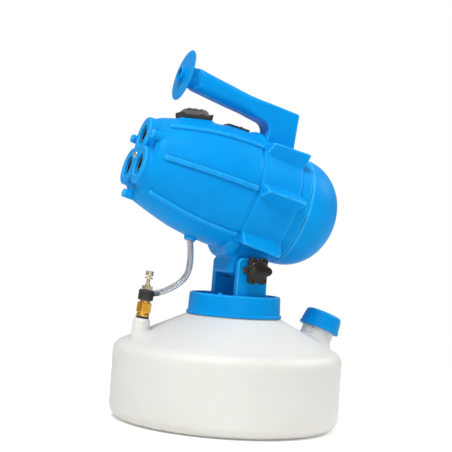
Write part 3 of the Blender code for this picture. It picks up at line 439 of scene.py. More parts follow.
def build_materials():
    clear = {"Transmission_Weight": 0.9, "IOR": 1.45}
    # Each edge colour is a painted highlight on convex edges, and each hollow colour is painted shade in
    # concave hollows.
    return {
        "shell": finish("blue_shell_finish", (0.0, 0.262, 0.68), (0.0, 0.292, 0.73), (0.38, 0.48),
                        edge=(0.04, 0.47, 0.95), hollow_painted_shade=(0.0, 0.11, 0.34), Specular_IOR_Level=0.07),
        "fittings": finish("blue_fittings_finish", (0.0, 0.252, 0.65), (0.0, 0.280, 0.70), (0.32, 0.42),
                           edge=(0.03, 0.42, 0.88), hollow_painted_shade=(0.0, 0.12, 0.36), Specular_IOR_Level=0.07),
        "tank": finish("tank_finish", (0.727, 0.709, 0.655), (0.768, 0.75, 0.692), (0.38, 0.5), patch=9.0,
                       grain=500.0, depth=0.00006, Subsurface_Weight=0.6,
                       Subsurface_Radius=(0.012, 0.011, 0.010), Subsurface_Scale=1.0),
        "knob": finish("dark_knob_finish", (0.008, 0.006, 0.003), (0.015, 0.011, 0.006), (0.16, 0.26),
                       edge=(0.04, 0.032, 0.02), Specular_IOR_Level=0.35),
        "black": finish("black_parts_finish", (0.012, 0.012, 0.012), (0.022, 0.021, 0.020), (0.38, 0.52),
                        edge=(0.06, 0.058, 0.055)),
        "rubber": finish("rubber_finish", (0.014, 0.014, 0.014), (0.024, 0.024, 0.024), (0.65, 0.85)),
        "red": finish("rocker_finish", (0.52, 0.03, 0.015), (0.62, 0.05, 0.02), (0.2, 0.32),
                      edge=(0.8, 0.18, 0.12)),
        "orange_brass": finish("yellow_brass_finish", (0.78, 0.38, 0.035), (0.86, 0.46, 0.06), (0.22, 0.36),
                               grain=900.0, metallic=1.0, edge=(0.95, 0.66, 0.3)),
        "pale_brass": finish("pale_brass_finish", (0.55, 0.43, 0.25), (0.66, 0.54, 0.34), (0.28, 0.42),
                             grain=900.0, metallic=1.0, edge=(0.85, 0.76, 0.56)),
        "steel": finish("steel_finish", (0.42, 0.41, 0.40), (0.56, 0.55, 0.53), (0.22, 0.38), grain=700.0,
                        metallic=1.0, stretch=(1.0, 12.0, 1.0), edge=(0.8, 0.8, 0.8)),
        # Painted shade: the nozzle sleeves are darkened past real metal so the bores read as shaded inside.
        "sleeve": finish("sleeve_finish", (0.05, 0.035, 0.025), (0.14, 0.10, 0.075), (0.2, 0.35),
                         grain=700.0, metallic=1.0),
        # Painted shade: the swirl cores are brass darkened to stand for the shade inside the bores; their
        # edge colour is a painted highlight.
        "swirl": finish("swirl_core_finish", (0.10, 0.065, 0.03), (0.24, 0.17, 0.09), (0.25, 0.4),
                        grain=700.0, metallic=1.0, edge=(0.5, 0.42, 0.3)),
        "aluminium": finish("aluminium_finish", (0.55, 0.55, 0.55), (0.66, 0.66, 0.66), (0.4, 0.6),
                            grain=400.0, depth=0.0001, metallic=1.0),
        "copper": finish("winding_finish", (0.50, 0.20, 0.09), (0.65, 0.28, 0.13), (0.3, 0.45), grain=900.0,
                         metallic=1.0, stretch=(1.0, 8.0, 1.0)),
        "potting": finish("potting_finish", (0.03, 0.035, 0.05), (0.05, 0.06, 0.08), (0.35, 0.6)),
        "hose": finish("hose_finish", (0.80, 0.83, 0.87), (0.90, 0.91, 0.93), (0.04, 0.10), patch=90.0,
                       grain=110.0, depth=0.0003, stretch=(2.0, 0.25, 0.25), **clear),
        "boot": finish("boot_finish", (0.07, 0.045, 0.035), (0.16, 0.11, 0.09), (0.06, 0.16), patch=120.0,
                       grain=200.0, depth=0.0005, Alpha=0.45, Specular_IOR_Level=0.35),
    }


# ---------------------------------------------------------------- head: casing

def smooth_curve(knots, window):
    """Samples of a curve through knots, softened over a window, as (places, values)."""
    places = np.arange(knots[0][0], knots[-1][0], 0.5)
    wide = np.interp(places, *zip(*knots))
    weights = np.hanning(int(window / 0.5) | 1)
    padded = np.pad(wide, len(weights) // 2, mode="reflect", reflect_type="odd")
    values = np.convolve(padded, weights / weights.sum(), mode="valid")
    return places, values


CURVE_S, CURVE_R = smooth_curve(CASING_CURVE, 22.0)
GROOVE = 1.3 * np.exp(-((CURVE_S + 4.5) / 2.4) ** 2)
SWELL = 0.5 * np.exp(-((CURVE_S - 2.0) / 4.0) ** 2)
CURVE_R = CURVE_R - GROOVE + SWELL


def barrel(rho, s):
    """Distance from the casing's round body, and its radius at s."""
    radius = np.interp(s, CURVE_S, CURVE_R)
    ahead = np.interp(s + 1.0, CURVE_S, CURVE_R)
    return (rho - radius) / np.sqrt(1 + (ahead - radius) ** 2), radius


def folded(x, h):
    """(across, up) measured from the nearest rib's centre plane, alike on both sides."""
    turn = np.degrees(np.arctan2(h, np.abs(x)))
    low, middle, high = FEATURES
    centre = np.where(turn < (low + middle) / 2, low, np.where(turn > (middle + high) / 2, high, middle))
    rho, off = np.hypot(x, h), np.radians(turn - centre)
    return rho * np.sin(off), rho * np.cos(off)


def eave(across, s, up, inset):
    """A ridged air scoop: two side planes that meet at a soft ridge and a slanting front."""
    lean = math.radians(27.0)
    ridge = 79.0 + 2.2 * (s - 3.0) / 43.0
    softness = 2.1
    top = ridge + softness / math.tan(lean)
    sides = np.hypot(across, softness) * math.cos(lean) + (up - top) * math.sin(lean)
    front = (-12.0 * (s + 2.0) + 5.0 * (up - 67.0)) / 13.0
    return smooth_max(sides, front, 1.6) + inset


def lobes(x, s, h):
    """The three nozzle bosses on the nose, blended into one block."""
    block = rod(np.hypot(x, h), s, 9.0, NOSE_FACE, -100.0, 2.0)
    for angle in NOZZLE_ANGLES:
        cx, ch = around(angle, NOZZLE_CIRCLE)
        lobe = rod(np.hypot(x - cx, h - ch), s, LOBE_RADIUS, NOSE_FACE, -100.0, 2.6)
        block = smooth_min(block, lobe, 3.0)
    return block


def around(angle, radius):
    """A place on a circle around the head's axis."""
    turn = math.radians(angle)
    return radius * math.cos(turn), radius * math.sin(turn)


def ellipsoid(coordinates, radii):
    """Close to the distance from an ellipsoid about the origin."""
    scaled = np.sqrt(sum((c / r) ** 2 for c, r in zip(coordinates, radii)))
    steep = np.sqrt(sum((c / r ** 2) ** 2 for c, r in zip(coordinates, radii)))
    return scaled * (scaled - 1.0) / np.maximum(steep, 1e-6)


def casing_skin(points):
    """The casing's outside: barrel, ribs, nozzle bosses, pegs, hose spout, switch pads and scoops."""
    x, s, h = points.T
    rho = np.hypot(x, h)
    body, radius = barrel(rho, s)
    across, up = folded(x, h)
    solid = smooth_max(body, CASING_FRONT - s, 9.0)
    rib = rounded_box((across, s, up - radius), ((-2.9, 2.9), (-112.5, -4.5), (-4.0, 3.3)), 2.4)
    solid = smooth_min(solid, rib, 1.0)
    solid = smooth_min(solid, lobes(x, s, h), 3.5)
    for angle in PEG_ANGLES:
        cx, ch = around(angle, PEG_CIRCLE)
        peg = rod(np.hypot(x - cx, h - ch), s, 4.8, NOSE_FACE - 1.0, -108.0, 0.9)
        solid = smooth_min(solid, peg, 1.0)
    solid = smooth_min(solid, ellipsoid((x, s + 1.0, h - 58.0), (24.0, 14.5, 15.0)), 5.0)
    spout = rod(np.hypot(x, s - HOSE_EXIT), h, 6.8, -69.6, -58.0, 1.2)
    solid = smooth_min(solid, spout, 2.5)
    for seat, half_x, half_y in SWITCH_PADS:
        a, b, c = seen_from(points, HEAD, seat).T
        pad = rounded_box((a, b, c), ((-half_x, half_x), (-half_y, half_y), (-12.0, 0.1)), 1.6)
        solid = smooth_min(solid, pad, 3.0)
    solid = joined(solid, s - CASING_REAR, 1.1)

    rear = (16.0 * (s - CASING_REAR) - 4.0 * (up - 65.0)) / 16.5
    scoop = smooth_max(eave(across, s, up, 0.0), rear, 2.6)
    return smooth_min(solid, scoop, 1.4)


def casing_field(points):
    """The casing with its motor pocket, scoops, nozzle bores, screw hole and switch windows cut out."""
    x, s, h = points.T
    rho = np.hypot(x, h)
    across, up = folded(x, h)
    solid = casing_skin(points)
    pocket = joined(rho - POCKET_RADIUS, POCKET_START - s, 0.5)
    room = np.maximum(eave(across, s, up, 2.3), 60.0 - up)
    solid = smooth_max(solid, -np.minimum(pocket, room), 0.5)
    for angle in NOZZLE_ANGLES:
        cx, ch = around(angle, NOZZLE_CIRCLE)
        mouth = NOZZLE_BORE + 1.1 * np.clip((-124.0 - s) / 2.5, 0, 1)
        bore = np.maximum(np.hypot(x - cx, h - ch) - mouth, s + 104.0)
        solid = smooth_max(solid, -bore, 0.8)
    screw = np.maximum(rho - 2.3, s + 98.0)
    exit_bore = np.maximum(np.hypot(x, s - HOSE_EXIT) - 4.9, h + 50.0)
    solid = np.maximum(solid, -np.minimum(screw, exit_bore))
    for seat, half_x, half_y in SWITCH_WINDOWS:
        a, b, c = seen_from(points, HEAD, seat).T
        window = rounded_box((a, b, c), ((-half_x, half_x), (-half_y, half_y), (-12.0, 20.0)), 0.8)
        solid = np.maximum(solid, -window)
    return solid


def lug_field(points):
    """Bulge under the casing and the tongue that hangs between the yoke's ears."""
    x, s, h = points.T
    profile = rounded([(-9.0, -48.0, 0), (-8.8, -64.0, 12.0), (-2.0, -74.5, 9.0), (8.0, -75.0, 0),
                       (8.0, -48.0, 0)])
    half = np.interp(h, (-75, -71, -67, -62, -50), (27.0, 29.6, 32.2, 35.0, 37.6))
    bulge = joined(polygon(s, h, profile), np.abs(x) - half, 6.0)
    taper = 28.0 - 3.4 * np.clip((-76.0 - h) / 16.0, 0, 1)
    plan = joined(np.abs(x) - taper, span(s, 5.0, 50.0), 6.0)
    tongue = joined(plan, span(h, -91.8, -50.0), 3.0)
    body = smooth_min(bulge, tongue, 3.0)
    bolt = np.hypot(s - 28.0, h + 82.0) - 4.4
    return np.maximum(body, -bolt)


def handle_field(points):
    """Flat-sided post behind, round-edged bar above the barrel and a round neck in front."""
    x, s, h = points.T
    outline = rounded([(-93.0, 90.9, 2.5), (-52.0, 88.2, 40.0), (7.2, 85.6, 11.0), (6.4, 57.0, 0),
                       (44.2, 57.0, 0), (42.2, 72.0, 12.0), (37.1, 107.9, 1.6), (-12.0, 107.9, 50.0),
                       (-93.0, 115.5, 2.5)])
    edge = 1.7 + 7.3 * np.clip((8.0 - s) / 34.0, 0, 1) ** 2
    grip = joined(polygon(s, h, outline), np.abs(x) - 14.5, edge)
    neck = rod(np.hypot(x, h - GUARD_H), s, 12.3, -103.9, -84.0, 0.8)
    mouth = np.maximum(np.hypot(x, h - GUARD_H) - 9.6, s + 82.0)
    return np.maximum(smooth_min(grip, neck, 3.0), -mouth)


def band_field(points):
    """The motor housing's ring, with an air slot under each scoop."""
    x, s, h = points.T
    rho = np.hypot(x, h)
    across, up = folded(x, h)
    ring = joined(span(rho, BAND_RADIUS - 2.4, BAND_RADIUS), span(s, 20.0, SEAM - SEAM_GAP), 0.5)
    slot = rounded_box((across, s, up), ((-5.0, 5.0), (26.0, 44.0), (50.0, 80.0)), 0.8)
    return np.maximum(ring, -slot)


def dome_profile():
    """The rear cover as (radius, s): a soft dome with a small bead at its seam."""
    power = 2.12
    depth = DOME_END - SEAM - SEAM_GAP
    start = SEAM + SEAM_GAP
    outer, inner = [(BAND_RADIUS - 2.4, start), (BAND_RADIUS - 0.6, start)], []
    for k in range(49):
        turn = math.pi / 2 * k / 48
        radius = BAND_RADIUS * max(math.cos(turn), 0.0) ** (2 / power)
        rise = depth * math.sin(turn) ** (2 / power)
        outer.append((radius if k < 48 else 0.0, start + 0.5 + rise * (depth - 0.5) / depth))
        inner.append((radius * 0.962 if k < 48 else 0.0, start + 0.5 + rise * (depth - 3.2) / depth))
    return outer, inner


def build_casing(finishes):
    shape = sculpted(casing_field, (-86, -134, -86), (86, 54, 86), 1.1)
    piece("casing_shell", shape, HEAD, finishes["shell"], "head", "blue_shell", "front_casing", "nose_block")
    shape = sculpted(lug_field, (-41, -11, -94), (41, 52, -46), 1.0)
    piece("lug_body", shape, HEAD, finishes["shell"], "head", "blue_shell", "tilt_lug")
    shape = sculpted(handle_field, (-16, -106, 55), (16, 46, 118), 1.0)
    piece("grip_handle", shape, HEAD, finishes["shell"], "head", "blue_shell", "handle")
    shape = sculpted(band_field, (-65, 18, -65), (65, 62, 65), 1.2)
    piece("motor_band", shape, HEAD, finishes["shell"], "head", "blue_shell", "motor_housing")

    along = aimed(HEAD, (0, 0, 0), (0, 1, 0))
    outer, inner = dome_profile()
    outline = outer[::-1] + [inner[0]] + inner
    piece("dome_cover", turned(outline, 144), along, finishes["shell"], "head", "blue_shell", "rear_cover",
          sharp=35)

    stem = rounded([(6.9, GUARD_S - 6.2, 0.4), (9.0, GUARD_S - 6.2, 0.7), (9.0, GUARD_S - 1.0, 0.5),
                    (29.5, GUARD_S - 1.0, 0.8), (29.5, GUARD_S + 0.8, 0.8), (9.2, GUARD_S + 0.8, 0.3),
                    (9.2, GUARD_S + 12.0, 0.3), (6.9, GUARD_S + 12.0, 0.3)])
    place = aimed(HEAD, (0, 0, GUARD_H), (0, 1, 0))
    piece("guard_disc", turned(stem), place, finishes["fittings"], "head", "blue_shell", "handle_guard",
          sharp=40)


# ---------------------------------------------------------------- head: nozzles and switches

def swirl_field(points):
    """Pointed core with five twisted vanes, drawn along z."""
    a, b, c = points.T
    rho = np.hypot(a, b)
    outline = [(-4.0, -123.5), (0.8, -123.5), (1.8, -122.6), (3.4, -117.0), (3.8, -106.0), (2.4, -104.0),
               (2.4, -93.5), (-4.0, -93.5)]
    core = polygon(rho, c, outline)
    turn = np.arctan2(b, a) + (c + 111.5) * 0.055
    share = math.tau / 5
    turn = (turn + share / 2) % share - share / 2
    vane = joined(np.abs(rho * np.sin(turn)) - 0.5, span(c, -116.0, -107.0), 0.2)
    vane = np.maximum(vane, rho - 9.0)
    return smooth_min(core, vane, 0.6)


def nose_screw_field(points):
    """Domed screw head with a cross recess, drawn along z from the head's front."""
    a, b, c = points.T
    rho = np.hypot(a, b)
    head = np.maximum(np.sqrt(rho ** 2 + (c + 127.0) ** 2) - 5.2, rho - 4.7)
    head = np.maximum(head, c + 129.8)
    shank = rod(rho, c, 2.0, -131.0, -98.5, 0.3)
    cross = np.minimum(np.maximum(np.abs(a) - 0.45, np.abs(b) - 2.4),
                       np.maximum(np.abs(b) - 0.45, np.abs(a) - 2.4))
    cross = np.maximum(cross, c + 130.9)
    return np.maximum(smooth_min(head, shank, 0.4), -cross)


def build_nozzles(finishes):
    for index, angle in enumerate(NOZZLE_ANGLES, 1):
        x, h = around(angle, NOZZLE_CIRCLE)
        place = aimed(HEAD, (x, 0, h), (0, 1, 0))
        tube = rounded([(9.4, -126.0, 0.5), (10.9, -126.0, 0.5), (10.9, -100.0, 0), (9.4, -100.0, 0)])
        piece("sleeve_%d" % index, turned(tube, 72), place, finishes["sleeve"], "head", "steel",
              "nozzle_sleeve_%d" % index, sharp=40)
        shape = sculpted(swirl_field, (-9.5, -9.5, -124), (9.5, 9.5, -93), 0.55)
        piece("swirl_%d" % index, shape, place, finishes["swirl"], "head", "brass",
              "swirl_core_%d" % index)
    shape = sculpted(nose_screw_field, (-5, -5, -133), (5, 5, -98), 0.4)
    piece("nose_screw_head", shape, aimed(HEAD, (0, 0, 0), (0, 1, 0)), finishes["steel"], "head", "steel",
          "nose_screw")


def switch_field(half_x, half_y, height, raised):
    """Frame of a snap-in switch, flared at its rim and raised at its ends, open for the rocker."""
    def field(points):
        a, b, c = points.T
        ends = raised * np.clip((np.abs(b) - half_y + 6.5) / 4.0, 0, 1) ** 2
        flare = 0.14 * np.clip(c, 0, height)
        plan = joined(np.abs(a) - half_x + 0.6 - flare, np.abs(b) - half_y + 0.6 - flare, 1.4)
        frame_body = joined(plan, np.maximum(0.3 - c, c - height - ends), 0.7)
        box = rounded_box((a, b, c), ((3.4 - half_x, half_x - 3.4), (3.4 - half_y, half_y - 3.4),
                                      (-11.6, 1.0)), 0.5)
        well = rounded_box((a, b, c), ((5.6 - half_x, half_x - 5.6), (5.6 - half_y, half_y - 5.6),
                                       (-8.5, 30.0)), 0.8)
        return smooth_max(np.minimum(frame_body, box), -well, 0.5)
    return field


def rocker_field(half_x, half_y, height):
    """Rocker with a dished top, already thrown to one side."""
    side = rounded([(-half_y, -3.0, 0.5), (half_y, -3.0, 0.5), (half_y, height + 0.4, 0.8),
                    (half_y - 2.0, height + 1.6, 1.4), (0.0, height - 0.2, 12.0),
                    (2.0 - half_y, height + 1.6, 1.4), (-half_y, height + 0.4, 0.8)])

    def field(points):
        a, b, c = points.T
        turn = ROCKER_THROW
        along = b * math.cos(turn) + c * math.sin(turn)
        rise = -b * math.sin(turn) + c * math.cos(turn)
        return joined(polygon(along, rise, side), np.abs(a) - half_x, 0.7)
    return field


def boot_field(points):
    """Thin clear cover over the main rocker, open below and a little crumpled."""
    a, b, c = points.T
    crumple = 0.35 * np.sin(0.9 * b + 0.5 * a) + 0.3 * np.sin(1.1 * a - 0.6 * b + 1.0)
    rise = np.clip((c - 5.3) / 8.0, 0, 1)
    half_a = 10.4 - 3.6 * rise ** 2
    half_b = 15.4 - 5.4 * rise ** 2
    plan = joined(np.abs(a) - half_a, np.abs(b) - half_b, 3.0)
    skin = joined(plan, c - 12.6 - crumple, 3.2)
    return np.maximum(np.maximum(skin, -(skin + 0.9)), 5.3 - c)


def build_switches(finishes):
    shape = sculpted(switch_field(12.5, 18.5, 5.0, 2.2), (-15, -21, -13), (15, 21, 9), 0.7)
    piece("power_frame", shape, POWER_SEAT, finishes["black"], "head", "black_plastic", "power_switch")
    shape = sculpted(rocker_field(6.3, 11.9, 5.0), (-7, -14, -6), (7, 14, 10), 0.5)
    piece("power_key", shape, POWER_SEAT, finishes["red"], "power_button", "rocker_red", "power_rocker")
    shape = sculpted(boot_field, (-11, -16, 5), (11, 16, 14), 0.55)
    piece("clear_boot", shape, POWER_SEAT, finishes["boot"], "head", "boot", "switch_boot")
    shape = sculpted(switch_field(10.0, 14.0, 3.0, 0.0), (-12, -16, -13), (12, 16, 5), 0.7)
    piece("hv_frame", shape, HV_SEAT, finishes["black"], "head", "black_plastic", "hv_switch")
    shape = sculpted(rocker_field(3.8, 7.4, 3.0), (-5, -9, -5), (5, 9, 7), 0.5)
    piece("hv_key", shape, HV_SEAT, finishes["black"], "hv_button", "black_plastic", "hv_rocker")


# ---------------------------------------------------------------- tank, collar and yoke

TANK_OUTLINE = rounded([(-90.0, 3.0, 0), (91.0, 3.0, 5.0), (98.5, 0.0, 5.0), (130.0, 0.0, 15.0),
                        (130.0, 82.6, 13.0), (52.0, 120.6, 3.0), (48.3, 121.2, 1.0), (48.3, 160.0, 0),
                        (-90.0, 160.0, 0)], 10)


def tank_field(points):
    x, y, z = points.T
    shift = NECK_Y * np.clip((z - 80.0) / 40.0, 0, 1)
    skin = polygon(np.hypot(x, y - shift), z, TANK_OUTLINE)
    a, b, c = seen_from(points, ROW, VALVE).T
    boss_across, boss_along = np.hypot(a, b), c
    a, b, c = seen_from(points, ROW, FILLER).T
    mouth_across, mouth_along = np.hypot(a, b), c
    body = smooth_min(skin, rod(boss_across, boss_along, 9.4, -22.0, 0.0, 2.6), 5.0)
    flare = 1.6 * np.clip((-6.0 - mouth_along) / 10.0, 0, 1) ** 2
    body = smooth_min(body, rod(mouth_across - flare, mouth_along, 18.8, -24.0, 15.3, 0.6), 6.0)
    body = np.maximum(body, z - NECK_TOP)
    body = smooth_max(body, -(skin + TANK_WALL), 0.8)
    body = smooth_max(body, -np.maximum(boss_across - 5.0, -25.0 - boss_along), 0.6)
    return smooth_max(body, -np.maximum(mouth_across - 16.0, -26.0 - mouth_along), 0.8)


def yoke_field(points):
    """Disc clamped by the collar, two upright ears and four low pegs, drawn from the neck's axis."""
    x, y, z = points.T
    disc = rod(np.hypot(x, y), z, 48.4, 137.9, 141.9, 0.6)
    profile = rounded([(-15.0, 139.0, 0), (21.4, 139.0, 0), (20.6, 187.0, 7.0), (-14.4, 187.0, 7.0)], 8)
    ears = joined(polygon(y, z, profile), span(np.abs(x), 31.0, 40.0), 1.1)
    body = smooth_min(disc, ears, 2.0)
    for peg_x in (-20.0, 20.0):
        for peg_y in (-26.0, 30.0):
            peg = rod(np.hypot(x - peg_x, y - peg_y), z, 2.4, 140.0, 145.9, 0.5)
            body = smooth_min(body, peg, 1.0)
    hole = np.hypot(y - 3.2, z - 173.7) - 4.3
    return np.maximum(body, -hole)


def cap_ribs(turns, height):
    """Eight thin ribs up the side of the filler cap."""
    if not 3.6 < height < 12.5:
        return 0.0 * turns
    off = (np.degrees(turns) + 25.0 + 22.5) % 45.0 - 22.5
    return 0.5 * np.exp(-(off / 1.6) ** 2)


def build_tank(finishes):
    shape = sculpted(tank_field, (-131, -131, -1), (131, 141, 138), 2.0)
    piece("tank_shell", shape, ROW, finishes["tank"], "tank_base", "tank", "tank")
    shape = sculpted(yoke_field, (-50, -50, 136), (50, 50, 189), 1.0)
    piece("yoke_frame", shape, NECK, finishes["fittings"], "tank_base", "blue_fittings", "yoke")

    collar = rounded([(48.8, 120.7, 0.3), (54.5, 120.7, 0.7), (54.4, 123.3, 0.7), (52.7, 124.2, 0.6),
                      (51.8, 145.0, 3.4), (46.3, 145.0, 0.8), (46.3, 142.2, 0.2), (48.8, 142.2, 0)])
    piece("collar_nut", turned(collar, 144), NECK, finishes["fittings"], "collar", "blue_fittings",
          "collar_ring", sharp=40)

    cap = rounded([(19.3, 0.0, 0.3), (24.0, 0.0, 0.7), (24.0, 3.2, 0.9), (22.5, 4.0, 0.5), (22.2, 8.0, 0),
                   (21.8, 12.0, 0), (21.3, 20.0, 6.0), (0.0, 20.0, 0), (0.0, 17.3, 0), (19.3, 17.3, 0.5)])
    start = [radius for radius, height in cap].index(0.0)
    outline = cap[start + 1:] + cap[:start + 1]
    piece("fill_cap", turned(outline, 144, cap_ribs), FILLER, finishes["fittings"], "cap",
          "blue_fittings", "filler_cap", sharp=40)


# ---------------------------------------------------------------- valve and hose

def chamfered_hex(points, across_flats, low, high):
    """A hexagon bar whose corners are turned off at 30 degrees at both ends."""
    a, b, c = points.T
    bar = joined(polygon(a, b, hexagon(across_flats)), span(c, low, high), 0.25)
    end = np.abs(c - (low + high) / 2) - (high - low) / 2
    cone = (np.hypot(a, b) - across_flats * 0.515) * 0.5 + end * 0.866
    return smooth_max(bar, cone, 0.3)


def fitting_field(points):
    """Brass union: foot, hexagon, upper neck and the tail that goes into the tank, with a bore."""
    a, b, c = points.T
    rho = np.hypot(a, b)
    foot = np.where(c > 4.0, 7.2 - 0.9 * np.clip((c - 4.0) / 2.5, 0, 1), 7.2)
    body = joined(rho - foot, span(c, 2.0, 8.0), 0.4)
    body = np.minimum(body, chamfered_hex(points, 14.5, 6.3, 17.3))
    body = np.minimum(body, rod(rho, c, 5.9, 16.0, 19.3, 0.3))
    body = np.minimum(body, rod(rho, c, 4.6, -5.0, 3.0, 0.2))
    body = np.minimum(body, rod(rho, c, 2.0, -14.0, -4.0, 0.2))
    return np.maximum(body, 1.2 - rho)


def gland_field(points):
    """Small hexagon nut with a nipple, bored for the needle."""
    a, b, c = points.T
    rho = np.hypot(a, b)
    body = chamfered_hex(points, 11.0, 32.2, 36.0)
    nipple = rod(rho, c, 3.0, 35.0, 38.2, 0.5)
    return np.maximum(np.minimum(body, nipple), 2.35 - rho)


def knurl(turns, height):
    """Crossed grooves of a diamond knurl."""
    first = np.abs(np.sin(15 * turns + 1.9 * height))
    second = np.abs(np.sin(15 * turns - 1.9 * height))
    return -0.22 * (1 - np.minimum(first, second)) ** 2


def knob_skin(turns, height):
    return knurl(turns, height) * (47.5 < height < 52.1)


def nut_skin(turns, height):
    return 0.08 * np.cos(32 * turns) * (44.0 < height < 45.4)


def flutes(turns, height):
    """Fine upright flutes around the valve's body."""
    return 0.10 * np.cos(28 * turns) * (20.9 < height < 30.6)


def build_valve(finishes):
    seal = rounded([(5.0, 0.3, 0), (7.6, 0.3, 0.3), (7.4, 1.7, 0.3), (5.0, 1.7, 0)])
    piece("seal_ring", turned(seal, 48), VALVE, finishes["rubber"], "tank_base", "rubber", "valve_seal",
          sharp=40)
    shape = sculpted(fitting_field, (-9, -9, -15), (9, 9, 20), 0.5)
    piece("fitting_body", shape, VALVE, finishes["orange_brass"], "tank_base", "brass", "valve_fitting",
          sharp=32)
    shape = sculpted(gland_field, (-7, -7, 32), (7, 7, 39), 0.4)
    piece("gland_nut", shape, VALVE, finishes["pale_brass"], "tank_base", "brass", "valve_gland", sharp=32)

    shell = [(2.4, 19.6), (7.2, 19.6), (8.45, 20.8)]
    shell += [(8.45, 20.8 + 0.99 * k) for k in range(1, 10)]
    shell += [(8.45, 30.7), (7.2, 31.9), (2.4, 31.9)]
    body = turned(shell, 168, flutes)
    barb = [(1.2, 6.5), (2.2, 6.5), (2.2, 9.6), (2.45, 9.7), (2.1, 11.2), (2.45, 11.3), (2.1, 12.8),
            (2.4, 12.9), (1.9, 15.0), (1.2, 15.0)]
    piece("valve_block", body, VALVE, finishes["black"], "tank_base", "black_parts", "valve_body", sharp=30)
    port = VALVE @ Vector((0.0, 0.0, 27.5))
    piece("hose_barb", turned(barb, 32), aimed(ROW, port, (0, 1, 0)), finishes["black"], "tank_base",
          "black_parts", sharp=30)

    knob = [(0.0, 33.6), (2.0, 33.6), (2.0, 47.0), (3.7, 47.0), (4.3, 47.6)]
    knob += [(4.3, 47.6 + 0.4 * k) for k in range(1, 11)]
    knob += [(4.3, 52.0), (3.7, 52.6), (1.0, 52.6), (0.8, 52.3), (0.0, 52.3)]
    piece("flow_knob_top", turned(knob, 120, knob_skin), VALVE, finishes["pale_brass"], "flow_knob", "brass",
          "valve_knob", sharp=40)
    nut = [(2.3, 43.6), (4.0, 43.6), (4.4, 44.1), (4.4, 44.5), (4.4, 44.9), (4.4, 45.3), (4.0, 45.8),
           (2.3, 45.8)]
    piece("lock_disc", turned(nut, 96, nut_skin), VALVE, finishes["pale_brass"], "lock_nut", "brass",
          "valve_lock_nut", sharp=40)


def smooth_path(knots):
    """Points along a smooth curve that passes through the knots, eight to each span."""
    before, after = 2 * knots[0] - knots[1], 2 * knots[-1] - knots[-2]
    control = np.vstack([before, knots, after])
    path = []
    for i in range(1, len(control) - 2):
        a, b, c, d = control[i - 1:i + 3]
        for t in np.arange(0, 1, 0.125):
            path.append(0.5 * (2 * b + (c - a) * t + (2 * a - 5 * b + 4 * c - d) * t ** 2
                               + (3 * b - a - 3 * c + d) * t ** 3))
    return path + [knots[-1]]


def build_hose(finishes):
    """One clear hose from the valve's barb up into the casing."""
    knots = np.array([(-93.2, 140.2), (-84.8, 142.3), (-73.5, 147.4), (-62.3, 155.2), (-55.2, 165.3),
                      (-53.3, 177.8), (-53.8, 191.3), (-55.4, 204.6)])
    path = [(0.0, y, z) for y, z in smooth_path(knots)]
    hose = piece("clear_hose", swept(path, 3.5, 2.5), ROW, finishes["hose"], None, "hose", "hose_lower",
                 "hose_upper", sharp=50)
    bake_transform(hose)


# ---------------------------------------------------------------- clamp

def star_field(points):
    """Six-lobed clamp knob with a domed face, drawn along its bolt."""
    a, b, c = points.T
    rho = np.hypot(a, b)
    share = math.tau / 6
    turn = (np.arctan2(b, a) + share / 2) % share - share / 2
    lobe = np.hypot(rho * np.cos(turn) - 11.9, rho * np.sin(turn)) - 4.6
    star = smooth_min(lobe, rho - 12.0, 3.0)
    star = joined(star, span(c, 47.1, 57.1), 1.6)
    face = np.maximum(np.sqrt(rho ** 2 + (c - 37.0) ** 2) - 23.1, rho - 10.2)
    face = np.maximum(face, 50.0 - c)
    body = smooth_min(star, face, 1.6)
    body = smooth_min(body, rod(rho, c, 8.5, 42.1, 50.0, 0.6), 1.0)
    return np.maximum(body, -np.maximum(rho - 6.3, c - 55.0))


def build_clamp(finishes):
    shape = sculpted(star_field, (-18, -18, 41), (18, 18, 61), 0.6)
    piece("star_knob", shape, CLAMP, finishes["knob"], "clamp_grip", "black_plastic", "clamp_knob")
    ring = rounded([(4.3, 40.3, 0.2), (9.0, 40.3, 0.3), (9.0, 41.8, 0.3), (4.3, 41.8, 0.2)])
    piece("plain_washer", turned(ring, 64), CLAMP, finishes["steel"], "clamp_plate", "steel",
          "clamp_washer", sharp=40)
    bolt = [(0.0, -45.0), (3.0, -44.9), (6.0, -44.2), (8.0, -43.0), (9.0, -41.6), (9.0, -40.3),
            (3.9, -40.3), (3.9, 52.4), (3.4, 53.0), (0.0, 53.0)]
    piece("pivot_bolt", turned(bolt, 64), CLAMP, finishes["steel"], "tank_base", "steel", "clamp_bolt",
          sharp=30)


# ---------------------------------------------------------------- what the CAD shows itself

CARRIED = {
    "neck_gasket": "rubber", "filler_seal": "rubber", "valve_needle": "steel", "dip_tube": "hose",
    "dip_strainer": "black", "friction_disc_right": "rubber", "friction_disc_left": "rubber",
    "knob_insert": "orange_brass", "hv_electrode": "steel", "liquid_manifold": "black",
    "feed_hose": "hose", "hose_grommet": "hose", "power_lead": "rubber", "front_bracket": "aluminium",
    "fan_shroud": "black", "stator": "steel", "rear_bracket": "aluminium", "front_bearing": "steel",
    "rear_bearing": "steel", "hv_module": "potting", "motor_shaft": "steel", "armature": "copper",
    "commutator": "copper", "fan_wheel": "aluminium",
}


def dress_cad(finishes):
    for name, finish_name in CARRIED.items():
        for place in frame["nodes"][name].material_slots:
            place.material = finishes[finish_name]


# ---------------------------------------------------------------- studio

def build_floor():
    mesh = bpy.data.meshes.new("studio_floor")
    size = 30.0
    mesh.from_pydata([(-size, -size, 0), (size, -size, 0), (size, size, 0), (-size, size, 0)], [],
                     [(0, 1, 2, 3)])
    floor = bpy.data.objects.new("studio_floor", mesh)
    floor.location.z = -0.0002
    bpy.context.scene.collection.objects.link(floor)
    mesh.materials.append(floor_finish())


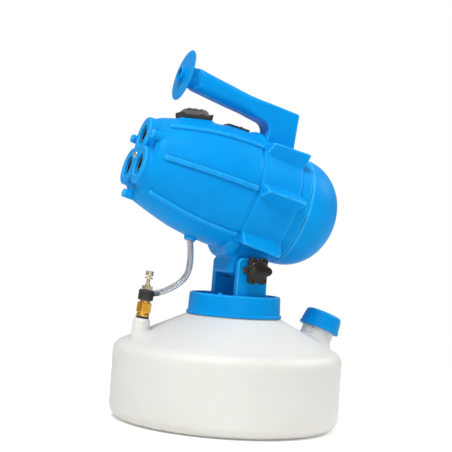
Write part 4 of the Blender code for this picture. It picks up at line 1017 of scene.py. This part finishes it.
def floor_finish():
    """Pale and matt near the sprayer; to the camera it fades into the white behind."""
    nodes = Nodes("studio_floor_finish")
    tint = nodes.mixed(nodes.noise(3.0), (0.93, 0.93, 0.93), (0.95, 0.95, 0.95))
    nodes.feed(nodes.shader.inputs["Base Color"], tint)
    nodes.feed(nodes.shader.inputs["Roughness"], 0.8)
    nodes.feed(nodes.shader.inputs["Specular IOR Level"], 0.1)
    nodes.feed(nodes.shader.inputs["Emission Color"], (1.0, 1.0, 1.0))
    seen = nodes.add("ShaderNodeLightPath").outputs["Is Camera Ray"]
    nodes.feed(nodes.shader.inputs["Emission Strength"], nodes.ranged(seen, 0.0, 1.0, 0.0, 0.3))
    distance = nodes.add("ShaderNodeVectorMath", operation="LENGTH")
    nodes.feed(distance.inputs[0], nodes.place)
    far = nodes.ranged(distance.outputs["Value"], 0.2, 1.0, 0.0, 1.0)
    share = nodes.add("ShaderNodeMath", operation="MULTIPLY")
    nodes.feed(share.inputs[0], far)
    nodes.feed(share.inputs[1], seen)
    white = nodes.add("ShaderNodeEmission")
    mix = nodes.add("ShaderNodeMixShader")
    nodes.feed(mix.inputs["Fac"], share.outputs["Value"])
    nodes.feed(mix.inputs[1], nodes.shader.outputs["BSDF"])
    nodes.feed(mix.inputs[2], white.outputs["Emission"])
    nodes.feed(nodes.tree.nodes["Material Output"].inputs["Surface"], mix.outputs["Shader"])
    return nodes.material


def build_world():
    """White to the camera; as a light it is brighter above than below."""
    world = bpy.data.worlds.new("studio")
    world.use_nodes = True
    bpy.context.scene.world = world
    tree = world.node_tree
    sky = tree.nodes["Background"]
    white = tree.nodes.new("ShaderNodeBackground")
    white.inputs["Color"].default_value = (1, 1, 1, 1)
    white.inputs["Strength"].default_value = 1.0
    place = tree.nodes.new("ShaderNodeTexCoord")
    split = tree.nodes.new("ShaderNodeSeparateXYZ")
    fade = tree.nodes.new("ShaderNodeMapRange")
    fade.inputs["From Min"].default_value = -0.3
    fade.inputs["From Max"].default_value = 1.0
    fade.inputs["To Min"].default_value = 0.20
    fade.inputs["To Max"].default_value = 0.66
    path = tree.nodes.new("ShaderNodeLightPath")
    mix = tree.nodes.new("ShaderNodeMixShader")
    links = ((place.outputs["Generated"], split.inputs["Vector"]),
             (split.outputs["Z"], fade.inputs["Value"]),
             (fade.outputs["Result"], sky.inputs["Strength"]),
             (path.outputs["Is Camera Ray"], mix.inputs["Fac"]),
             (sky.outputs["Background"], mix.inputs[1]),
             (white.outputs["Background"], mix.inputs[2]),
             (mix.outputs["Shader"], tree.nodes["World Output"].inputs["Surface"]))
    sky.inputs["Color"].default_value = (1, 1, 1, 1)
    for output, socket in links:
        tree.links.new(output, socket)


def build_light(name, place, target, power, size):
    data = bpy.data.lights.new(name, "AREA")
    data.energy = power
    data.shape = "DISK"
    data.size = size
    lamp = bpy.data.objects.new(name, data)
    lamp.location = place
    lamp.rotation_euler = (Vector(target) - Vector(place)).to_track_quat("-Z", "Y").to_euler()
    bpy.context.scene.collection.objects.link(lamp)


def build_camera():
    """At the photographed angle: a little below the middle of the sprayer, slightly rolled."""
    azimuth, elevation, roll = math.radians(68.22), math.radians(-1.096), math.radians(4.204)
    back = Vector((math.sin(azimuth) * math.cos(elevation), -math.cos(azimuth) * math.cos(elevation),
                   math.sin(elevation)))
    right = Vector((0, 0, 1)).cross(back).normalized()
    up = back.cross(right)
    tilted_right = right * math.cos(roll) + up * math.sin(roll)
    tilted_up = up * math.cos(roll) - right * math.sin(roll)
    data = bpy.data.cameras.new("camera")
    data.lens = 87.14
    data.sensor_width = 36.0
    data.shift_x = -0.02371
    data.shift_y = 0.00459
    camera = bpy.data.objects.new("camera", data)
    camera.matrix_world = columns(tilted_right, tilted_up, back, Vector((0, 0, 0.22)) + back * 1.249)
    bpy.context.scene.collection.objects.link(camera)
    bpy.context.scene.camera = camera


def build_studio():
    build_floor()
    build_world()
    build_light("key", (0.95, -0.85, 2.0), (0, 0, 0.25), 33.0, 0.7)
    build_light("fill", (1.7, -0.5, 0.4), (0, 0, 0.2), 4.0, 1.2)
    build_light("rim", (0.1, 1.6, 1.3), (0, 0.1, 0.28), 11.0, 0.8)
    build_camera()
    bpy.context.scene.view_settings.view_transform = "Standard"


finishes = build_materials()
build_casing(finishes)
build_nozzles(finishes)
build_switches(finishes)
build_tank(finishes)
build_valve(finishes)
build_hose(finishes)
build_clamp(finishes)
dress_cad(finishes)
build_studio()
